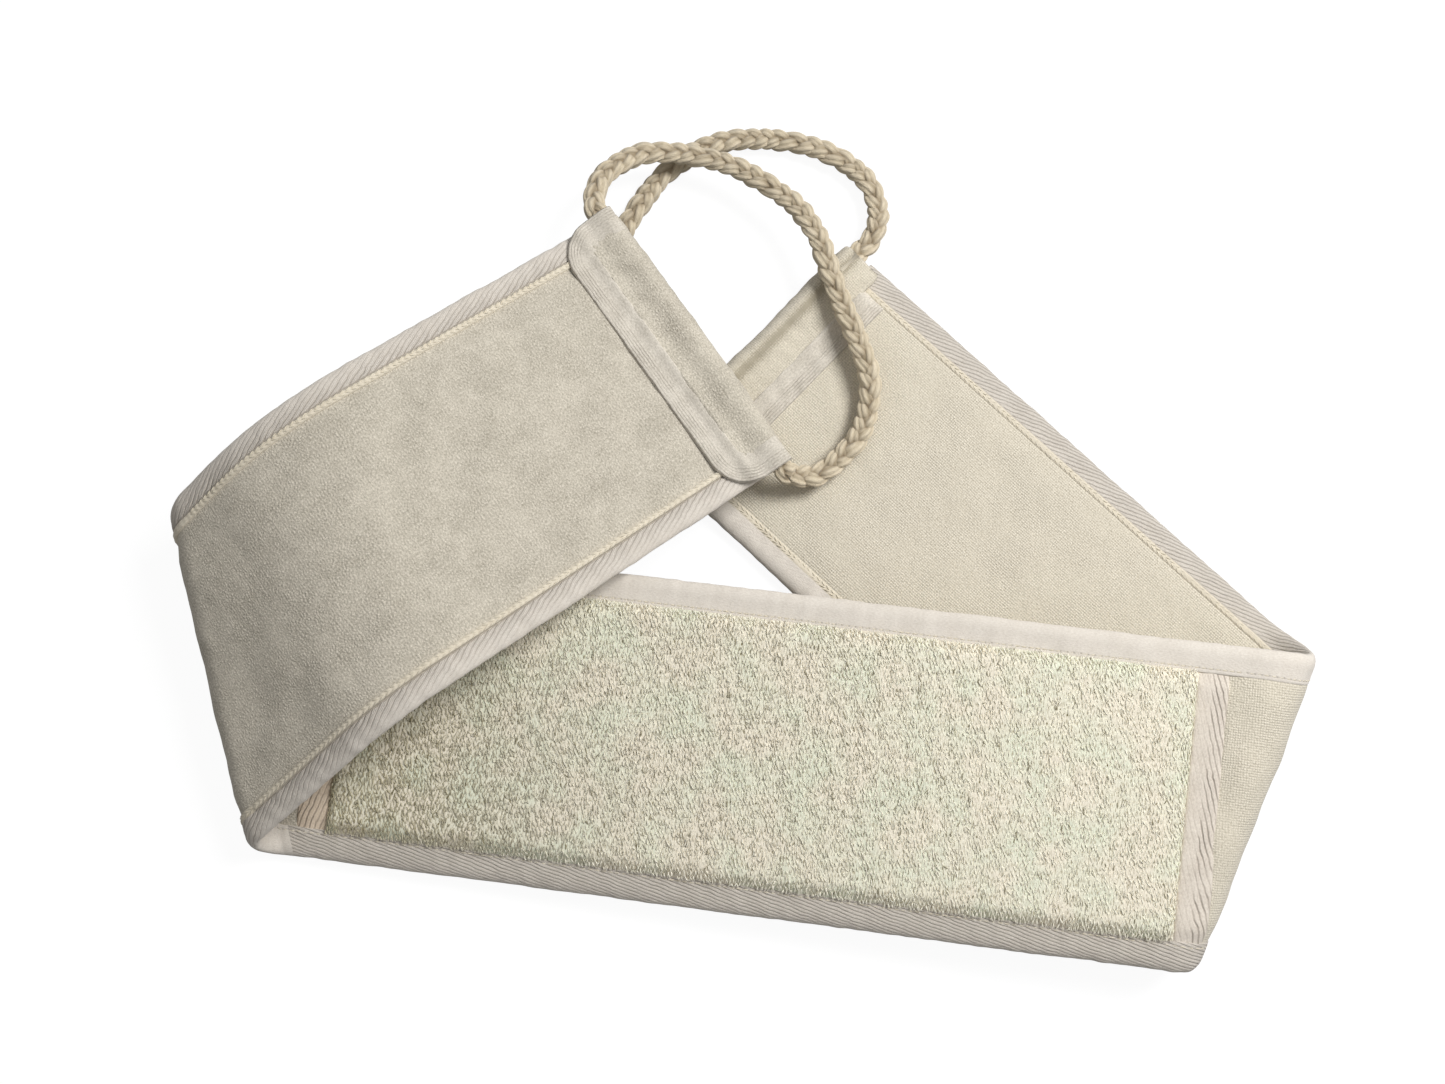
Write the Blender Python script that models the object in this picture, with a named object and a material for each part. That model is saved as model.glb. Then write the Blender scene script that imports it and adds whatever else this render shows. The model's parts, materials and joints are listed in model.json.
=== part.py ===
"""A loofah back scrubber: a padded cotton strap with a loofah pad in its middle
and a braided rope handle at each end, folded twice and laid down.

The strap is drawn as it would lie flat: s runs along it, w across it and h out
of its loofah face, in metres. folded() carries such a point to its place on the
folded strap. The right arm lies flat on the ground (z = 0), the loofah panel is
folded up over it, and the left arm is folded forward over the panel.
"""
import math
from collections import namedtuple

import bmesh
import bpy
from mathutils import Matrix, Vector

MM = 0.001
GAP = 0.3 * MM  # left between pieces that touch

# The strap laid flat.
HALF_WIDTH = 50 * MM
LEFT_END = -366.5 * MM
RIGHT_END = 391 * MM
LOOFAH_START = -122.6 * MM
LOOFAH_END = 138.6 * MM

# Its layers, measured from the middle of the padding.
CLOTH_FACE = 2.8 * MM  # outer face of either cloth over the padding
CLOTH = 1.0 * MM  # thickness of a cloth
FOAM_HALF = 1.4 * MM
FOAM_FULL = 35.4 * MM  # half the width over which the foam has its full thickness
FOAM_EDGE = 38.6 * MM
FOAM_EDGE_HALF = 0.3 * MM
LOOFAH_FACE = 5.6 * MM
LOOFAH_RISE = 4 * MM  # length over which the pad rises from under its tape
NIPPED_FACE = 1.4 * MM  # outer face of the layers where the binding nips them
NIPPED_BACK = 0.45 * MM  # inner face there
PADDED_HALF = 36 * MM  # half the width that keeps its full thickness
NIPPED_HALF = 40.2 * MM  # where the binding starts to nip
LAYER_HALF = 48.6 * MM  # raw edges of the layers, inside the binding

# The tape folded over the long edges, and the flat tape over each loofah end.
BINDING_WIDTH = 9.5 * MM
BINDING_HALF = 2.5 * MM
BINDING = 0.8 * MM
TAPE_WIDTH = 9.6 * MM
TAPE = 0.8 * MM
UNDER_TAPE = 2.0 * MM  # outer face of the layers that a tape covers

# The hem at each end of the strap, a sleeve that the rope runs through.
ROPE_RADIUS = 3.5 * MM
TUNNEL_RADIUS = 3.9 * MM
HEM_RADIUS = 5.1 * MM
HEM_FACE = 4.9 * MM  # outer face of the flap, on the back-cloth side
HEM_START = 10.7 * MM  # the layers of the arm end this far from the strap's end
FLAP_SLOPE_END = 13 * MM
FLAP_END = 15.5 * MM  # length of the flap from the strap's end
TUNNEL_HEIGHT = CLOTH_FACE - HEM_RADIUS  # the rope's centre, on the back-cloth side
HEM_HALF = 47.5 * MM  # half the length of a sleeve, which stops short of both long edges
HEM_TAPE_WIDTH = 9 * MM
HEM_TAPE = 1.2 * MM
LEFT_CORNER = 8.5 * MM  # the left hem's tape has round corners
RIGHT_CORNER = 0.8 * MM
CORNER_STEPS = 6
ARC_STEPS = 10

# A bend starts and ends at a place on the upper and on the lower long edge.
Bend = namedtuple("Bend", "upper lower turn")
RIGHT_BENDS = (
    Bend((161 * MM, 208 * MM), (138 * MM, 165 * MM), math.radians(181.5)),
)
LEFT_BENDS = (
    Bend((-169.5 * MM, -198.5 * MM), (-134 * MM, -154 * MM), math.radians(158)),
    Bend((-213 * MM, -262 * MM), (-200 * MM, -240 * MM), math.radians(42)),
)
CREASES = 24  # fine creases that a bend is made of
HALFWAY = 0.5  # the pieces of two bodies part halfway round a fold
ROW_TURN = math.radians(12)  # bend between two rows of faces
FOLD_STEPS = 10  # rows from a loofah end tape to halfway round the fold
TAPE_STEPS = 4  # rows along the width of a loofah end tape
SHARP_ANGLE = math.radians(40)  # edges that turn more than this look sharp
PIVOT_SIZE = 20 * MM

# Columns of points across the layers: close together where the rows turn from
# square to slanted, wide apart along the straight lines of a bend.
FINE_COLUMNS = tuple(k * PADDED_HALF / 4 for k in range(-4, 5))
COARSE_COLUMNS = (-PADDED_HALF, 0, PADDED_HALF)

# The ropes. Each route lists the places that the free loop passes, in mm, from the
# mouth of the tunnel on one long edge to the mouth on the other.
ROPE_END = 1.5 * MM  # the sewn ends of a rope stop this far from the middle of the hem
ROPE_MOUTH = 2.5 * MM  # the rope runs straight this far out of the tunnel
ROPE_SPACING = 11 * MM
CURVE_STEPS = 12
ROPE_RESOLUTION = 2  # bevel resolution of a rope
LEFT_ROUTE = (
    (10.6, 27.7, 14.4), (15.9, 28.4, 12), (21.4, 31.4, 10.4), (27.4, 38.3, 9.9),
    (31.6, 46.2, 9.9), (33.1, 55, 10.2), (32.1, 63.8, 10.8), (28.7, 72.4, 11.7),
    (20.1, 87.6, 13.4), (14.9, 97.4, 14.4), (11.1, 106.2, 14.4), (5.1, 115, 14),
    (-4.9, 123.2, 12.8), (-21.9, 131, 11.6), (-37.6, 133, 11.6), (-51.6, 130.4, 13.6),
    (-60.6, 123, 16.4), (-64.2, 115.4, 19), (-64.4, 109, 21.2),
)
RIGHT_ROUTE = (
    (28.3, 114.8, 5), (29, 124.6, 4.4), (23.8, 135.2, 3.8), (11.1, 142.8, 3.8),
    (-3.1, 145.6, 3.8), (-20.1, 144.2, 3.8), (-33.1, 139, 3.8), (-43.9, 128.6, 3.8),
    (-50.9, 116.6, 3.8), (-55.9, 103.4, 3.8), (-58.1, 85.6, 3.8), (-57.7, 67.6, 3.8),
    (-55.5, 52.6, 3.8), (-52.3, 39.6, 3.8), (-47.6, 28.8, 4.2), (-41.8, 23.2, 4.7),
    (-38, 23.8, 5),
)

Row = namedtuple("Row", "upper lower")


def mix(start, end, share):
    return start + (end - start) * share


def square(s):
    """A row straight across the strap."""
    return Row(s, s)


def row_between(first, last, share):
    return Row(mix(first.upper, last.upper, share), mix(first.lower, last.lower, share))


def rows_between(first, last, steps):
    return [row_between(first, last, k / steps) for k in range(steps + 1)]


def shifted(row, distance):
    return Row(row.upper + distance, row.lower + distance)


def bend_row(bend, share):
    """The line across the strap at a share of the way round a bend."""
    return Row(mix(*bend.upper, share), mix(*bend.lower, share))


def along(row, w):
    """Where a row crosses the line at w."""
    return mix(row.lower, row.upper, (w + HALF_WIDTH) / (2 * HALF_WIDTH))


def ruling(row):
    """The two ends of a row on the flat strap."""
    return Vector((row.lower, -HALF_WIDTH, 0)), Vector((row.upper, HALF_WIDTH, 0))


def crease_frames(bends):
    """For each bend, the matrices of the strap after 0, 1, 2 ... of its creases."""
    frames = []
    frame = Matrix.Identity(4)
    for bend in bends:
        turned = [frame]
        for k in range(CREASES):
            low, high = ruling(bend_row(bend, (k + 0.5) / CREASES))
            turn = Matrix.Rotation(bend.turn / CREASES, 4, (high - low).normalized())
            frame = frame @ Matrix.Translation(low) @ turn @ Matrix.Translation(-low)
            turned.append(frame)
        frames.append(turned)
    return frames


RIGHT_FRAMES = crease_frames(RIGHT_BENDS)
LEFT_FRAMES = crease_frames(LEFT_BENDS)


def on_panel(s, w, h):
    """Place of a flat point on the folded strap, seen from the flat panel."""
    bends, frames = (RIGHT_BENDS, RIGHT_FRAMES) if s > 0 else (LEFT_BENDS, LEFT_FRAMES)
    frame = Matrix.Identity(4)
    normal = Vector((0, 0, 1))
    for bend, turned in zip(bends, frames):
        start = along(bend_row(bend, 0), w)
        end = along(bend_row(bend, 1), w)
        passed = (s - start) / (end - start) * CREASES
        if passed <= 0:
            break
        passed = min(passed, CREASES)
        whole = math.floor(passed + 0.5)
        low, high = ruling(bend_row(bend, passed / CREASES))
        rest = (passed - whole) * bend.turn / CREASES
        frame = turned[whole]
        normal = Matrix.Rotation(rest, 3, (high - low).normalized()) @ Vector((0, 0, 1))
    return frame @ Vector((s, w, 0)) + frame.to_3x3() @ normal * h


def laid_down():
    """World matrix of the panel that lays the right arm flat on the ground."""
    arm = RIGHT_FRAMES[-1][-1].to_3x3()
    up = -(arm @ Vector((0, 0, 1)))
    forward = Vector((1, 0, 0))
    forward = (forward - up * forward.dot(up)).normalized()
    turn = Matrix((forward, up.cross(forward), up)).to_4x4()
    ground = turn @ on_panel(RIGHT_END, 0, CLOTH_FACE)
    outline = [turn @ on_panel(s * MM, w, 0)
               for s in range(int(LEFT_END / MM), int(RIGHT_END / MM))
               for w in (-HALF_WIDTH, HALF_WIDTH)]
    middle = [(min(p[k] for p in outline) + max(p[k] for p in outline)) / 2 for k in (0, 1)]
    return Matrix.Translation((-middle[0], -middle[1], -ground.z)) @ turn


WORLD = laid_down()


def folded(s, w, h):
    return WORLD @ on_panel(s, w, h)


def material(name, colour, roughness):
    mat = bpy.data.materials.new(name)
    mat.use_nodes = True
    shader = mat.node_tree.nodes["Principled BSDF"]
    shader.inputs["Base Color"].default_value = (*colour, 1)
    shader.inputs["Roughness"].default_value = roughness
    shader.inputs["Metallic"].default_value = 0
    return mat


def clear_scene():
    for old in list(bpy.data.objects):
        bpy.data.objects.remove(old, do_unlink=True)


def pivot(name, start, end, parent=None):
    """An empty halfway along a joint's axis, with its own X along the axis."""
    x = (end - start).normalized()
    y = Vector((0, 0, 1)).cross(x).normalized()
    frame = Matrix((x, y, x.cross(y))).transposed().to_4x4()
    empty = bpy.data.objects.new(name, None)
    empty.empty_display_size = PIVOT_SIZE
    bpy.context.collection.objects.link(empty)
    empty.parent = parent
    bpy.context.view_layer.update()
    empty.matrix_world = Matrix.Translation((start + end) / 2) @ frame
    bpy.context.view_layer.update()
    return empty


def place(obj, body, mat):
    """Hang an object, whose data is in world coordinates, on its body's pivot."""
    bpy.context.collection.objects.link(obj)
    obj.data.materials.append(mat)
    if body:
        obj.data.transform(body.matrix_world.inverted())
        obj.parent = body
    return obj


def finish(name, bm, body, mat):
    bmesh.ops.recalc_face_normals(bm, faces=bm.faces)
    mesh = bpy.data.meshes.new(name)
    bm.to_mesh(mesh)
    bm.free()
    mesh.shade_smooth()
    mesh.set_sharp_from_angle(angle=SHARP_ANGLE)
    return place(bpy.data.objects.new(name, mesh), body, mat)


def skin_loops(bm, loops):
    """Faces between neighbouring loops of points, and over the first and the last."""
    for near, far in zip(loops, loops[1:]):
        for k in range(len(near)):
            bm.faces.new((near[k - 1], near[k], far[k], far[k - 1]))
    bm.faces.new(loops[0])
    bm.faces.new(loops[-1])


def loft(name, sections, body, mat):
    """Closed skin through sections, each a row across the strap and a (w, h) outline."""
    bm = bmesh.new()
    loops = [[bm.verts.new(folded(along(row, w), w, h)) for w, h in outline]
             for row, outline in sections]
    skin_loops(bm, loops)
    return finish(name, bm, body, mat)


def layer(face, back, columns):
    """Outline of a layer between two heights, thinner where the binding nips it."""
    side = math.copysign(1, face)
    across = (-LAYER_HALF, -NIPPED_HALF, *columns, NIPPED_HALF, LAYER_HALF)
    outer = [(w, face if abs(w) <= PADDED_HALF else side * NIPPED_FACE) for w in across]
    inner = [(w, back if abs(w) <= PADDED_HALF else side * NIPPED_BACK) for w in across]
    return outer + inner[::-1]


def foam_outline():
    return [(-FOAM_EDGE, FOAM_EDGE_HALF), (-FOAM_FULL, FOAM_HALF),
            (FOAM_FULL, FOAM_HALF), (FOAM_EDGE, FOAM_EDGE_HALF),
            (FOAM_EDGE, -FOAM_EDGE_HALF), (FOAM_FULL, -FOAM_HALF),
            (-FOAM_FULL, -FOAM_HALF), (-FOAM_EDGE, -FOAM_EDGE_HALF)]


def binding_outline(side):
    """The tape folded round the upper (side 1) or lower (side -1) long edge."""
    inner_w = HALF_WIDTH - BINDING
    inner_h = BINDING_HALF - BINDING
    start = HALF_WIDTH - BINDING_WIDTH
    half = [(start, inner_h), (start, BINDING_HALF), (inner_w, BINDING_HALF), (HALF_WIDTH, inner_h)]
    outline = half + [(w, -h) for w, h in reversed(half)] + [(inner_w, -inner_h), (inner_w, inner_h)]
    return [(side * w, h) for w, h in outline]


def tape_outline():
    """The flat tape across a loofah end, dipping to the binding at both sides."""
    across = (-NIPPED_HALF, *FINE_COLUMNS, NIPPED_HALF)
    under = [(w, UNDER_TAPE + GAP if abs(w) <= PADDED_HALF else NIPPED_FACE + GAP) for w in across]
    return under + [(w, h + TAPE) for w, h in reversed(under)]


def bend_rows(bend, first, last):
    """Rows round a bend, from one share of it to another."""
    steps = max(2, round(abs(last - first) * bend.turn / ROW_TURN))
    return [bend_row(bend, mix(first, last, k / steps)) for k in range(steps + 1)]


def panel_rows():
    left, right = LEFT_BENDS[0], RIGHT_BENDS[0]
    rows = bend_rows(left, HALFWAY, 0) + bend_rows(right, 0, HALFWAY)
    return [shifted(rows[0], GAP / 2), *rows[1:-1], shifted(rows[-1], -GAP / 2)]


def arm_rows(bends, end):
    """Rows of an arm, from halfway round its fold to its hem."""
    side = math.copysign(1, end)
    rows = bend_rows(bends[0], HALFWAY, 1)
    for bend in bends[1:]:
        rows += bend_rows(bend, 0, 1)
    return [shifted(rows[0], side * GAP / 2), *rows[1:], square(end - side * HEM_START)]


def build_panel(body):
    """The loofah panel, with half of each fold on it."""
    rows = panel_rows()
    cloth = layer(-CLOTH_FACE, CLOTH - CLOTH_FACE, COARSE_COLUMNS)
    loft("panel_back_cloth", [(row, cloth) for row in rows], body, COTTON)
    loft("panel_foam_core", [(row, foam_outline()) for row in rows], body, FOAM)
    for name, side in (("upper", 1), ("lower", -1)):
        outline = binding_outline(side)
        loft(f"panel_{name}_binding", [(row, outline) for row in rows], body, TWILL)
    build_loofah_pad(body)
    build_front_cloths(body, rows)
    build_loofah_tapes(body)


def build_loofah_pad(body):
    """The pad is as thin as a cloth under its end tapes and rises to its full height."""
    start = LOOFAH_START - TAPE_WIDTH / 2
    end = LOOFAH_END + TAPE_WIDTH / 2
    thin = layer(UNDER_TAPE, CLOTH_FACE - CLOTH, FINE_COLUMNS)
    full = layer(LOOFAH_FACE, CLOTH_FACE - CLOTH, FINE_COLUMNS)
    sections = [(square(start + GAP / 2), thin), (square(LOOFAH_START), thin),
                (square(LOOFAH_START + LOOFAH_RISE), full),
                (square(LOOFAH_END - LOOFAH_RISE), full), (square(LOOFAH_END), thin),
                (square(mix(LOOFAH_END, end, 0.5)), thin), (square(end - GAP / 2), thin)]
    loft("loofah_pad", sections, body, LOOFAH)


def build_front_cloths(body, rows):
    """The cloth on the loofah side, from under each end tape to halfway round the fold."""
    thin = layer(UNDER_TAPE, CLOTH_FACE - CLOTH, FINE_COLUMNS)
    full = layer(CLOTH_FACE, CLOTH_FACE - CLOTH, FINE_COLUMNS)
    step = TAPE_WIDTH / TAPE_STEPS
    middle = TAPE_STEPS // 2
    for name, edge, side, fold in (("left", LOOFAH_START, -1, rows[0]),
                                   ("right", LOOFAH_END, 1, rows[-1])):
        joint = edge + side * (step * middle + GAP / 2)
        covered = [(square(joint), thin)]
        covered += [(square(edge + side * step * k), thin) for k in range(middle + 1, TAPE_STEPS + 1)]
        bare = square(edge + side * (TAPE_WIDTH + TAPE + GAP))
        to_fold = rows_between(bare, fold, FOLD_STEPS)
        loft(f"panel_front_cloth_{name}", covered + [(row, full) for row in to_fold], body, COTTON)


def build_loofah_tapes(body):
    for name, edge, side in (("left", LOOFAH_START, -1), ("right", LOOFAH_END, 1)):
        rows = rows_between(square(edge), square(edge + side * TAPE_WIDTH), TAPE_STEPS)
        loft(f"loofah_{name}_end_tape", [(row, tape_outline()) for row in rows], body, TWILL)


def build_arm(name, bends, end, corner, body):
    """One arm: two cloths over foam, bound along both edges and hemmed at its end."""
    rows = arm_rows(bends, end)
    back = layer(-CLOTH_FACE, CLOTH - CLOTH_FACE, COARSE_COLUMNS)
    front = layer(CLOTH_FACE, CLOTH_FACE - CLOTH, COARSE_COLUMNS)
    loft(f"{name}_back_cloth", [(row, back) for row in rows], body, COTTON)
    loft(f"{name}_front_cloth", [(row, front) for row in rows], body, COTTON)
    loft(f"{name}_foam_core", [(row, foam_outline()) for row in rows], body, FOAM)
    for edge, side in (("upper", 1), ("lower", -1)):
        outline = binding_outline(side)
        loft(f"{name}_{edge}_binding", [(row, outline) for row in rows], body, TWILL)
    build_hem(name, end, corner, body)


def across(name, outline, end, half_length, body, mat):
    """A closed prism across the strap; its outline is (distance from the end, h)."""
    side = math.copysign(1, end)
    bm = bmesh.new()
    loops = [[bm.verts.new(folded(end - side * t, w, h)) for t, h in outline]
             for w in (-half_length, half_length)]
    skin_loops(bm, loops)
    return finish(name, bm, body, mat)


def arc(radius, first, last, steps):
    """Points round the rope's centre, as (distance from the end, h)."""
    return [(HEM_RADIUS - radius * math.sin(mix(first, last, k / steps)),
             TUNNEL_HEIGHT + radius * math.cos(mix(first, last, k / steps)))
            for k in range(steps + 1)]


def build_hem(name, end, corner, body):
    """The sleeve folded round the rope, and the tape over its raw edge."""
    flap_back = -(CLOTH_FACE + GAP)
    sleeve = [(HEM_START - GAP, CLOTH_FACE), *arc(HEM_RADIUS, 0, math.pi, ARC_STEPS),
              (FLAP_SLOPE_END, -HEM_FACE), (FLAP_END, -HEM_FACE), (FLAP_END, flap_back),
              (HEM_START - GAP, flap_back)]
    hem = across(f"{name}_hem", sleeve, end, HEM_HALF, body, COTTON)
    bore = arc(TUNNEL_RADIUS, 0, 2 * math.pi, 2 * ARC_STEPS)[:-1]
    cutter = across(f"{name}_tunnel_cutter", bore, end, HALF_WIDTH + HEM_RADIUS, body, COTTON)
    cutter.hide_render = True
    cutter.display_type = "WIRE"
    cut = hem.modifiers.new("tunnel", "BOOLEAN")
    cut.object = cutter
    build_hem_tape(name, end, corner, body)


def build_hem_tape(name, end, corner, body):
    """The tape beside the sleeve; its two corners away from the rope are round."""
    side = math.copysign(1, end)
    start = FLAP_END + GAP
    far = start + HEM_TAPE_WIDTH
    turns = [mix(0, math.pi / 2, k / CORNER_STEPS) for k in range(CORNER_STEPS + 1)]
    half = [(HALF_WIDTH, start)]
    half += [(HALF_WIDTH - corner * (1 - math.cos(a)), far - corner * (1 - math.sin(a))) for a in turns]
    plan = half + [(-w, t) for w, t in reversed(half)]
    back = -(CLOTH_FACE + GAP)
    bm = bmesh.new()
    loops = [[bm.verts.new(folded(end - side * t, w, h)) for w, t in plan]
             for h in (back, back - HEM_TAPE)]
    skin_loops(bm, loops)
    finish(f"{name}_hem_tape", bm, body, TWILL)


def tunnel_point(end, w):
    """A point on the centre line of the tunnel in a hem."""
    side = math.copysign(1, end)
    return folded(end - side * HEM_RADIUS, w, TUNNEL_HEIGHT)


def smooth_curve(points, spacing):
    """Points at an even spacing along a Catmull-Rom curve through the given ones."""
    padded = [points[0], *points, points[-1]]
    fine = []
    for a, b, c, d in zip(padded, padded[1:], padded[2:], padded[3:]):
        for k in range(CURVE_STEPS):
            t = k / CURVE_STEPS
            fine.append((b * 2 + (c - a) * t + (a * 2 - b * 5 + c * 4 - d) * t * t
                         + (b * 3 - a - c * 3 + d) * t ** 3) / 2)
    fine.append(points[-1])
    travelled = [0]
    for near, far in zip(fine, fine[1:]):
        travelled.append(travelled[-1] + (far - near).length)
    count = round(travelled[-1] / spacing)
    even = []
    k = 0
    for step in range(count + 1):
        goal = travelled[-1] * step / count
        while k < len(fine) - 2 and travelled[k + 1] < goal:
            k += 1
        share = (goal - travelled[k]) / (travelled[k + 1] - travelled[k])
        even.append(fine[k].lerp(fine[k + 1], share))
    return even


def build_rope(name, end, start_side, route, body):
    """A rope whose ends are sewn down inside the hem and whose loop lies beyond it."""
    loop = [Vector(point) * MM for point in route]
    mouth = HEM_HALF + ROPE_MOUTH
    inside = [tunnel_point(end, start_side * w) for w in (ROPE_END, mouth)]
    outside = [tunnel_point(end, -start_side * w) for w in (mouth, ROPE_END)]
    points = [inside[0], *smooth_curve([inside[1], *loop, outside[0]], ROPE_SPACING), outside[1]]
    curve = bpy.data.curves.new(name, "CURVE")
    curve.dimensions = "3D"
    curve.bevel_depth = ROPE_RADIUS
    curve.bevel_resolution = ROPE_RESOLUTION
    curve.use_fill_caps = True
    spline = curve.splines.new("POLY")
    spline.points.add(len(points) - 1)
    for spot, point in zip(spline.points, points):
        spot.co = (*point, 1)
    return place(bpy.data.objects.new(name, curve), body, ROPE)


def fold_pivot(name, bend, face, start_w, parent):
    """The hinge of a fold, halfway round it on its outer face; turning on it unfolds."""
    row = bend_row(bend, HALFWAY)
    start, end = [folded(along(row, w), w, face) for w in (start_w, -start_w)]
    return pivot(name, start, end, parent)


def tunnel_pivot(name, strap_end, parent):
    """The hinge of a rope loop: the centre line of the tunnel it runs through."""
    start, end = [tunnel_point(strap_end, w) for w in (HEM_HALF, -HEM_HALF)]
    return pivot(name, start, end, parent)


clear_scene()
COTTON = material("cotton_cloth", (0.66, 0.60, 0.50), 0.95)
TWILL = material("cotton_twill_tape", (0.78, 0.73, 0.67), 0.9)
FOAM = material("foam", (0.85, 0.80, 0.62), 0.9)
LOOFAH = material("loofah", (0.72, 0.68, 0.50), 0.95)
ROPE = material("braided_cotton", (0.60, 0.49, 0.33), 0.95)

panel = fold_pivot("right_fold", RIGHT_BENDS[0], CLOTH_FACE, -HALF_WIDTH, None)
left_arm = fold_pivot("left_fold", LEFT_BENDS[0], -CLOTH_FACE, HALF_WIDTH, panel)
left_loop = tunnel_pivot("left_rope_swing", LEFT_END, left_arm)
right_loop = tunnel_pivot("right_rope_swing", RIGHT_END, None)

build_arm("right_arm", RIGHT_BENDS, RIGHT_END, RIGHT_CORNER, None)
build_panel(panel)
build_arm("left_arm", LEFT_BENDS, LEFT_END, LEFT_CORNER, left_arm)
build_rope("left_rope", LEFT_END, -1, LEFT_ROUTE, left_loop)
build_rope("right_rope", RIGHT_END, 1, RIGHT_ROUTE, right_loop)
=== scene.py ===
"""Looks of a loofah back scrubber: a padded cotton strap, folded twice and laid down,
with a loofah pad on its panel and a braided rope loop through each hemmed end.

The strap is drawn as it would lie flat: s runs along it, w across it and h out of its
loofah face, in metres. folded() carries such points to their places on the folded strap.
"""
import json
import math
from collections import namedtuple

import bpy
import numpy as np
from mathutils import Matrix, Vector


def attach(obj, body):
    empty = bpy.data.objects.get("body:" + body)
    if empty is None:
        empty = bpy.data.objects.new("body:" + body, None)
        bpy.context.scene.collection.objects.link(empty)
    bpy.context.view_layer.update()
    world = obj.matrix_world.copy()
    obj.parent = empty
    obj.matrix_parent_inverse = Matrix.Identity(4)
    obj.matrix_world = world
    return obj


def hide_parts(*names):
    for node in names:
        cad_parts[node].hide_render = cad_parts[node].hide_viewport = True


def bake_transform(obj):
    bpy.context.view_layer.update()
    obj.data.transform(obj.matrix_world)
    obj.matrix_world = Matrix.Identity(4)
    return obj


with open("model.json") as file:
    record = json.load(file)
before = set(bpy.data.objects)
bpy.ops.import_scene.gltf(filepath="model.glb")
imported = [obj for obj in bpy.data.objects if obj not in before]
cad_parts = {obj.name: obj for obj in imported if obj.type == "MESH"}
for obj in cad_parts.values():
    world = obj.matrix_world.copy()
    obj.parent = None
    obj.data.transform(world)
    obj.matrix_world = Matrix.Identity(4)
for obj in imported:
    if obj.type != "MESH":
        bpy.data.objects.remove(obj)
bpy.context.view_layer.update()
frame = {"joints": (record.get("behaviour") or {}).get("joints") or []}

MM = 0.001
WHITE = (1, 1, 1, 1)
TINY = 1e-12  # keeps a division by a length safe

# The strap laid flat.
HALF_WIDTH = 50 * MM
LEFT_END = -366.5 * MM
RIGHT_END = 391 * MM
LOOFAH_START = -122.6 * MM
LOOFAH_END = 138.6 * MM

# Its layers, measured from the middle of the padding.
CLOTH_FACE = 2.8 * MM
UNDER_LOOFAH = 1.5 * MM
NIPPED = 1.9 * MM  # the cloths under the binding
NIPPED_RIGHT = 2.4 * MM  # and beside the binding of the right arm
CROWN_EDGE = 41 * MM  # half the width between the bindings
CROWN_SLOPE = 8 * MM
CLOTH_HALF = 46 * MM
LOOFAH_FACE = 5.2 * MM
MAT_FACE = LOOFAH_FACE - 0.6 * MM  # the mat that the fibres stand on
MAT_BORDER = 1.8 * MM  # and where it goes in under the tapes
FIBRE_BORDER = 2.8 * MM
SINK = 3 * MM  # length over which the panel sinks under the loofah

# The tape folded over the long edges, and the flat tape over each loofah end.
BINDING_WIDTH = 9.5 * MM
BINDING_HALF = 2.4 * MM
BINDING_TURN = 4.2 * MM  # its round part, from the long edge inwards
BINDING_EXCESS = 1.17 * MM  # what the round part adds to the way from the edge
TAPE_WIDTH = 9.6 * MM
TAPE_FACE = 3.1 * MM

# Places on the binding, in mm from the long edge over the tape.
RIDGE_START = 8.3  # on the back the tape ends here and the stitched ridge begins
RIDGE_MIDDLE = 9.5
RIDGE_HALF = 1.1
HOLES = 9.2  # the needle holes on the front

# Its relief, in mm.
RIDGE_HEIGHT = 0.38
KNOT_HEIGHT = 0.08
GROOVE_DEPTH = 0.35  # beside the ridge
GROOVE_HALF = 0.3
PUCKER_HEIGHT = 0.14

# For each kind of binding: the distance between two ribs, how far one runs along the edge for
# each mm that it runs in, how clear the ribs are on the back beside the ridge and at the long
# edge, how high the ridge is, and how clear the ribs are on the front.
Tape = namedtuple("Tape", "pitch lean ribs edge_ribs ridge front")
PUCKERED = Tape(3.3, 1.96, 1.0, 0.15, 1.0, 0.0)
TURNED = Tape(3.3, 1.96, 0.9, 0.6, 0.25, 0.0)
ROLLED = Tape(4.2, -4.0, 0.5, 0.1, 0.5, 0.8)
RIBBED = Tape(3.3, 2.5, 0.5, 0.9, 0.35, 0.0)
SMOOTH = Tape(3.3, 2.5, 0.08, 0.0, 0.08, 0.0)
# On the upper and on the lower edge of each stretch of the strap.
BINDING_KINDS = {"left_arm": (PUCKERED, PUCKERED), "left_fold": (PUCKERED, TURNED),
                 "panel": (PUCKERED, ROLLED), "right_fold": (RIBBED, ROLLED),
                 "right_arm": (RIBBED, SMOOTH)}

# Across a flat tape: places in mm from its outer edge, and how far each lies under its face.
TAPE_PLACES = np.array([-0.1, 0, 0.4, 1, 2, 3.2, 4.6, 6, 7.2, 8.2, 8.8, 9.2, 9.3])
TAPE_DROP = np.array([1.1, 0.4, 0.1, 0, 0, 0, 0, 0, 0, 0, 0.1, 0.4, 1.1])
TAPE_BORDER = 9.2  # its other edge

# The stitches along the bindings.
STITCH = 2.1 * MM
STITCH_LENGTH = 1.9 * MM
STITCH_RADIUS = 0.2 * MM
STITCH_RINGS = 5
STITCH_SIDES = 6
LINK_SLANT = 0.32  # the two sides of a chain link lean apart by this much
HALF_LINK = 0.45 * MM
RAISED, LOW = 0.25 * MM, -0.05 * MM
CHAIN_HEIGHT = {"panel": RAISED, "left_arm": RAISED, "left_fold": LOW, "right_fold": LOW,
                "right_arm": LOW}

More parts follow.
